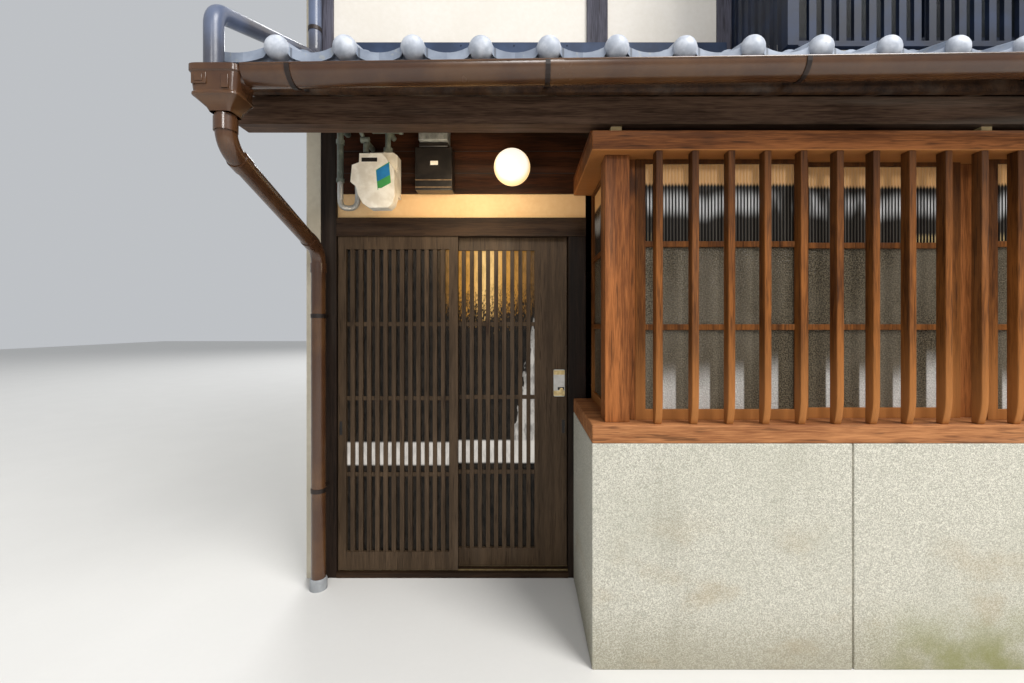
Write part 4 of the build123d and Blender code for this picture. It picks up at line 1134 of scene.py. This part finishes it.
boot = [(0, 0.039), (0, 0.0455), (0.052, 0.0455), (0.060, 0.041), (0.062, 0.038)]
shape("pipe_boots", [turned(boot, (PIPE_X, side * PIPE_OUT, 0), (0, 0, 1), 28) for side in (FRONT, REAR)],
      "grey", "gutter_brown")
holds = [part for side in (FRONT, REAR) for part in (
    straps(PIPE_X, side, PIPE_OUT, 0.0378, (1.5, 0.55))
    + straps(ROOF_PIPE_X, side, ROOF_PIPE_OUT, 0.0342, (3.6, 3.1)))]
shape("pipe_straps", holds, "bracket", "bracket_metal")
print("two boots and", len(holds) // 2, "straps")

# %% [markdown]
# ## The threshold
#
# The doors run in the threshold on thin brass rails, one for each track, worn bright by rollers. The
# rails could be painted lines on the timber, but they stand 3 mm proud and catch the light from low
# down. So the sill is a plain block and each rail a thin one on it.

# %% The threshold
ENTRANCE = (-2.311, -0.991)
TRACKS = {"left_door": -3.925, "right_door": -3.880}
SILL_TOP = 0.030
shape("threshold_sill", [block(ENTRANCE, (-WALL, -3.835), (0.0, SILL_TOP))], "dark_x", "dark_timber",
      replaces=["entrance_threshold"])
shape("threshold_rails", [block(ENTRANCE, (y + 0.012, y + 0.021), (SILL_TOP, SILL_TOP + 0.003))
                          for y in TRACKS.values()], "brass", "dark_timber")
print("laid", len(TRACKS), "rails of", round(ENTRANCE[1] - ENTRANCE[0], 3), "m")

# %% [markdown]
# ## Lock and finger pulls
#
# The right door has a long steel lock plate with brass ends and a round thumb turn, and a dark plate a
# little larger than the lock, on the door's face, is painted shadow round its edges. Each door also has
# a narrow sunk pull beside its edge, with a rim and a dark well. Holes could be cut for the wells, which
# would need the door's mesh to be cut too. At 16 mm wide a dark plate of painted shade inside a rim
# reads as a hole. All of it rides on its door, so that it slides along.

# %% Lock and finger pulls
LOCK_FRONT = -3.8862
plates = [block((-1.0715, -1.0075), (LOCK_FRONT, LOCK_FRONT + 0.0016), z)
          for z in ((1.150, 1.176), (1.028, 1.058))]
thumb_turn = turned([(-0.001, 0.012), (0.0008, 0.012), (0.0016, 0.009), (0.0016, 0.0)],
                    (-1.026, LOCK_FRONT, 1.062), (0, FRONT, 0), 20)
shape("lock_ends", [*plates, thumb_turn], "brass", "lock_metal", "right_door", ease=0.0004)
# A dark notch by the thumb turn, and a larger dark plate on the door: painted shadow round the lock.
shape("lock_notch_and_shadow", [block((-1.048, -1.010), (-3.8853, -3.8849), (1.062, 1.078)),
                     block((-1.0735, -1.0055), (-3.8805, -3.8800), (1.022, 1.182))], "painted_shade", "lock_metal",
      "right_door")
PULL_Z = (0.810, 0.888)
for name, x, door in (("left_pull", -2.2905, "left_door"), ("right_pull", -1.0153, "right_door")):
    y = TRACKS[door]
    rim = [block((x - 0.011, x + 0.011), (y - 0.0012, y), (z, z + 0.004)) for z in (0.806, 0.888)]
    rim += [block((edge, edge + 0.003), (y - 0.0012, y), PULL_Z) for edge in (x - 0.011, x + 0.008)]
    shape(name + "_rim", rim, "door", "dark_timber", door)
    # The pull's well is a dark plate: painted shade in the recess.
    shape(name, [block((x - 0.008, x + 0.008), (y - 0.0003, y), PULL_Z)], "painted_shade", "dark_timber", door)
print("one lock and two pulls, on", list(TRACKS))

# %% [markdown]
# ## The lamp
#
# Over the doors hangs the globe, held by a turned fitting on the boards. A ready-made sphere would do,
# but its poles and seams would have to be looked after. A half circle turned round the upright axis
# closes by itself, and the same tool turns the fitting. Things fixed on the wall end half a millimetre
# in front of it, so that no two faces lie in one plane and flicker.

# %% The lamp
FIXED = -(WALL + 0.0005)
turn = np.linspace(-np.pi / 2, np.pi / 2, 25)
ball = list(zip(GLOBE_RADIUS * np.sin(turn), GLOBE_RADIUS * np.cos(turn)))
shape("globe", [turned(ball, GLOBE, (0, 0, 1), 40)], "globe", "lamp_glass", replaces=["entry_lamp"])
fitting = [(0, 0.048), (0.008, 0.048), (0.014, 0.040), (0.014, 0.018), (0.05, 0.018), (0.05, 0.0)]
shape("globe_fitting", [turned(fitting, (GLOBE[X], FIXED, GLOBE[Z]), (0, FRONT, 0), 28)], "cream",
      "lamp_glass")
print("the globe hangs", round(FIXED - GLOBE[Y] - GLOBE_RADIUS, 4), "m off the boards")

# %% [markdown]
# ## The gas meter
#
# Beside the lamp hangs a cream gas meter: a cast case with many soft corners in front of a squarer one,
# a dark window for its counter and a two-coloured label. It could be a rounded box, but its outline is
# what makes it a gas meter. So the corners are given as shares of its width and height, and that outline
# is pushed back through the case's depth and eased. The label carries no writing.

# %% The gas meter
METER_CORNER, METER_SIZE = (-2.163, 2.056), (0.240, 0.321)
METER_FRONT, PIPE_Y = -4.125, -4.052


def on_meter(points):
    """Shares across and up the meter's front, as places on the wall: corner + share * size."""
    return np.array(METER_CORNER) + np.array(points, float) * METER_SIZE


def plate(left, right, low, high, front, back):
    """A level block between shares of the meter's width and height."""
    (x0, z0), (x1, z1) = on_meter([(left, low), (right, high)])
    return block((x0, x1), (front, back), (z0, z1))


case = on_meter([(0.205, 0.905), (0.697, 0.905), (0.774, 0.847), (0.971, 0.641), (0.98, 0.20), (0.93, 0.08),
                 (0.84, 0.015), (0.42, 0.01), (0.28, 0.08), (0.167, 0.23), (0.127, 0.362), (0.005, 0.436),
                 (0.04, 0.714), (0.196, 0.758)])
back_case = on_meter([(0.333, 1.0), (0.87, 1.0), (0.96, 0.95), (0.96, 0.26), (0.35, 0.26)])
raised = METER_FRONT - 0.0017
shape("gas_meter_case", [prism(case, METER_FRONT, PIPE_Y, Y), prism(back_case, PIPE_Y, -3.977, Y),
                         plate(0.205, 0.479, 0.362, 0.589, raised, METER_FRONT),
                         plate(0.62, 0.70, 0.30, 0.33, raised, METER_FRONT)], "cream", "meter_cream",
      replaces=["gas_meter"], ease=0.006)
shape("gas_meter_window", [plate(0.255, 0.598, 0.766, 0.832, METER_FRONT - 0.0012, METER_FRONT + 0.001)],
      "meter", "meter_grey")
label = on_meter([(0.57, 0.63), (0.61, 0.30), (0.90, 0.42), (0.86, 0.76)])
label_top = on_meter([(0.58, 0.62), (0.60, 0.44), (0.88, 0.55), (0.85, 0.74)])
shape("gas_meter_sticker", [prism(label, -4.1258, -4.1249, Y)], "sticker", "meter_cream")
shape("gas_meter_sticker_top", [prism(label_top, -4.1263, -4.1256, Y)], "blue", "meter_cream")
print("the meter's front has", len(case), "corners")

# %% [markdown]
# ## Gas pipes
#
# Painted iron pipes join the meter to the wall: a riser beside it, and two ports on its top, one with a
# valve and its lever, one with a tee. Screw threads could be cut into the unions, but painted over they
# only read as collars. So pipes are circles along bent routes, and each union, valve and tee is a turned
# profile.

# %% Gas pipes
RISER_X, INLET_X, OUTLET_X, PORT_Z = -2.243, -2.103, -1.983, 2.377


def at_pipe(x, z):
    """A place on the plane that all gas pipes lie in."""
    return (x, PIPE_Y, z)


route = bent([(RISER_X, FIXED, 2.520), at_pipe(RISER_X, 2.520), at_pipe(RISER_X, 2.215)], 0.04)
riser = [tube(route, 0.017),
         turned([(0, 0.022), (0.024, 0.022), (0.024, 0.0171)], at_pipe(RISER_X, 2.445), DOWN),
         turned([(0, 0.021), (0.020, 0.021), (0.020, 0.0171)], at_pipe(RISER_X, 2.235), DOWN)]
ports = [tube(bent([at_pipe(x, PORT_Z), at_pipe(x, PORT_Z + rise), (x, FIXED, PORT_Z + rise)], 0.03), 0.015)
         for x, rise in ((INLET_X, 0.060), (OUTLET_X, 0.120))]
valve = turned([(-0.022, 0.0), (-0.022, 0.016), (0.022, 0.016), (0.022, 0.0)], at_pipe(-2.108, 2.445),
               (1, 0, 0))
lever = turned([(0, 0.010), (0.03, 0.010), (0.034, 0.018), (0.046, 0.018), (0.046, 0)],
               at_pipe(-2.118, 2.462), (-0.4, -0.3, 0.866))
union = turned([(0, 0.024), (0.022, 0.024), (0.022, 0.0171)], at_pipe(OUTLET_X, 2.400), DOWN)
tee = turned([(-0.085, 0.0), (-0.085, 0.017), (0.060, 0.017), (0.060, 0.021), (0.078, 0.021), (0.078, 0)],
             at_pipe(OUTLET_X, 2.497), (1, 0, 0))
shape("gas_risers", [*riser, *ports, valve, lever, union, tee], "pipe", "pipe_metal", replaces=["gas_pipes"])
print("one riser and", len(ports), "ports")

# %% [markdown]
# ## The ribbed hose
#
# A steel hose joins the riser to the meter in a tight U. Its ribs let it bend. They could be bump only,
# but they show on its outline. So the tube's radius swings as a sine along the route, which takes many
# close points, evenly spread.

# %% The ribbed hose
RIBS, HOSE_POINTS = 30, 160
HOSE_X, HOSE_FOOT = -2.149, 2.074
route = bent([at_pipe(RISER_X, 2.222), at_pipe(RISER_X, HOSE_FOOT), at_pipe(HOSE_X, HOSE_FOOT),
              at_pipe(HOSE_X, 2.192)], 0.045, 40)
share, known = np.linspace(0, 1, HOSE_POINTS), np.linspace(0, 1, len(route))
hose = np.stack([np.interp(share, known, route[:, axis]) for axis in (X, Y, Z)], 1)
radius = 0.0145 + 0.0013 * np.sin(2 * np.pi * RIBS * share)
shape("gas_hose", [tube(hose, radius, 16)], "steel", "pipe_metal")
print("the hose has", RIBS, "ribs")

# %% [markdown]
# ## The electric meter
#
# Next to it hangs the electric meter: a dark case with two pale strips and a name plate left bare, under
# a sloping clear hood that has gone grey. The hood could be real glass, but its inside is too dark to
# see. So it is a solid, an outline from the side pushed across the case's width.

# %% The electric meter
CASE_X, HOOD_X = (-1.8415, -1.6385), (-1.8195, -1.6605)
shape("electric_case", [block(CASE_X, (-4.030, FIXED), (2.180, 2.416)),
                        block(HOOD_X, (-4.036, FIXED), (2.416, 2.440))], "meter", "meter_grey",
      replaces=["electric_meter"], ease=0.004)
hood = [(-4.000, 2.440), (-4.050, 2.446), (-4.048, 2.500), (-4.030, 2.552), (FIXED, 2.558), (FIXED, 2.440)]
shape("electric_hood", [prism(hood, *HOOD_X, X)], "hood", "meter_grey", ease=0.006)
shape("electric_slot", [block((-1.775, -1.712), (-4.0486, -4.035), (2.515, 2.528))], "meter", "meter_grey")
shape("electric_strips", [block((-1.84, -1.64), (-4.0345, -4.029), (z, z + 0.006)) for z in (2.192, 2.232)],
      "trim", "meter_grey")
shape("electric_plate", [block((-1.758, -1.716), (-4.0312, -4.029), (2.318, 2.340))], "cream", "meter_cream",
      ease=0.0005)
print("the case is", round(CASE_X[1] - CASE_X[0], 3), "m wide")

# %% [markdown]
# ## Small woodwork
#
# Last come small things that the eye misses only when they are gone: pale blocks on the bay's cap, the
# shadow lines between the entrance boards, and nail heads on the metal band upstairs. Bump could draw
# them, but a line of shadow needs a real edge. Each is a thin block or a turned head, repeated by a
# loop.

# %% Small woodwork
shape("cap_blocks", [block((x - 0.0235, x + 0.0235), (-4.5555, -4.5085), (2.2755, 2.3025))
                     for x in (-0.846, 0.759, 2.347)], "pale", "bay_timber", ease=0.002)
# Each joint is a thin dark block: painted shade in the gap between two boards.
shape("board_joint_shade", [block((ENTRANCE[0], -0.891), (-WALL - 0.0012, -WALL), (z, z + 0.0035))
                       for z in (2.300, 2.425, 2.545)], "painted_shade", "dark_timber")
nail = [(0, 0.005), (0.002, 0.004), (0.003, 0.0)]
nails = [turned(nail, (x, -3.952, z), (0, FRONT, 0), 10)
         for x in np.arange(-2.2, -0.2, 0.3) for z in (2.89, 3.02)]
shape("band_nails", nails, "navy", "navy_metal")
print("three blocks, three joints and", len(nails), "nails")

# %% [markdown]
# ## Lights
#
# The real front stands in open shade: light comes softly from a strip of bright sky, and the lamp adds a
# warm patch on the transom. One sun would throw hard shadows of the eave. So there are square soft
# lights: a large one high in front, a smaller and lower one that brightens what lies under the eave, a
# large one behind for the rear, and a tiny warm one by the globe.

# %% Lights
def light(name, place, aim, size, power, colour=(1, 1, 1)):
    """A square soft light at a place, turned to face a point."""
    lamp = bpy.data.lights.new(name, "AREA")
    lamp.size = size
    lamp.energy = power
    lamp.color = colour
    thing = bpy.data.objects.new(name, lamp)
    bpy.context.scene.collection.objects.link(thing)
    thing.location = place
    ahead = np.array(aim) - np.array(place)
    level = math.hypot(ahead[0], ahead[1])
    thing.rotation_euler = (math.atan2(level, -ahead[2]), 0, math.atan2(-ahead[0], ahead[1]))
    return thing


lights = [light("street_light", (5.0, -10.5, 10.5), (0, -4, 1.2), 6, 1800, (1, 0.98, 0.95)),
          light("front_light", (-1.0, -13.0, 5.5), (0, -4, 2), 1.4, 250, (1, 0.98, 0.96)),
          light("sky_light", (-6, 12, 14), (0, 2, 3), 8, 1800),
          light("lamp_glow", (-1.55, -4.42, 2.06), (-1.6, -3.95, 2.14), 0.4, 3.5, (1, 0.8, 0.52))]
print("placed", len(lights), "lights")

# %% [markdown]
# ## Floor and sky
#
# The house is shown on a plain pale floor under an even sky, as a part in a catalogue. The floor isn't
# part of it. A sky picture would give livelier reflections, but an even pale blue keeps the colours true
# from every side.
# The Standard view shows the colours as they were chosen.

# %% Floor and sky
FLOOR_HALF = 30
floor_mesh = bpy.data.meshes.new("floor")
corners = [(x * FLOOR_HALF, y * FLOOR_HALF, 0) for x, y in ((-1, -1), (1, -1), (1, 1), (-1, 1))]
floor_mesh.from_pydata(corners, [], [(0, 1, 2, 3)])
floor_mesh.materials.append(plaster("Studio floor", "d6d5d2", "d4d3d0", 0.0).material)
floor = bpy.data.objects.new("floor", floor_mesh)
bpy.context.scene.collection.objects.link(floor)
world = bpy.data.worlds.new("Sky")
world.use_nodes = True
sky = world.node_tree.nodes["Background"].inputs
sky["Color"].default_value = (0.86, 0.89, 0.93, 1)
sky["Strength"].default_value = 0.6
bpy.context.scene.world = world
bpy.context.scene.view_settings.view_transform = "Standard"
print("the floor is", 2 * FLOOR_HALF, "m wide")

# %% [markdown]
# ## Camera
#
# The front is seen from close by, a little over two and a half metres off, so the lens has to be very
# wide. A wide lens that is tilted makes upright lines lean. This camera looks level and square at the
# wall, and the picture is moved by shifting the lens instead, which keeps every post upright.

# %% Camera
eye = bpy.data.cameras.new("Street camera")
eye.lens = 16
eye.sensor_width = 36
eye.shift_x = -0.0098
eye.shift_y = -0.0180
camera = bpy.data.objects.new("Street camera", eye)
camera.location = (-1.255, -6.527, 1.450)
camera.rotation_euler = (math.pi / 2, 0, 0)
bpy.context.scene.collection.objects.link(camera)
bpy.context.scene.camera = camera
print("camera stands at", tuple(camera.location))

# %% [markdown]
#
# The dressed house has to stay inside the frame's box, or it would no longer be the size that the record
# says. Last, the view layer is brought up to date.

bpy.context.view_layer.update()
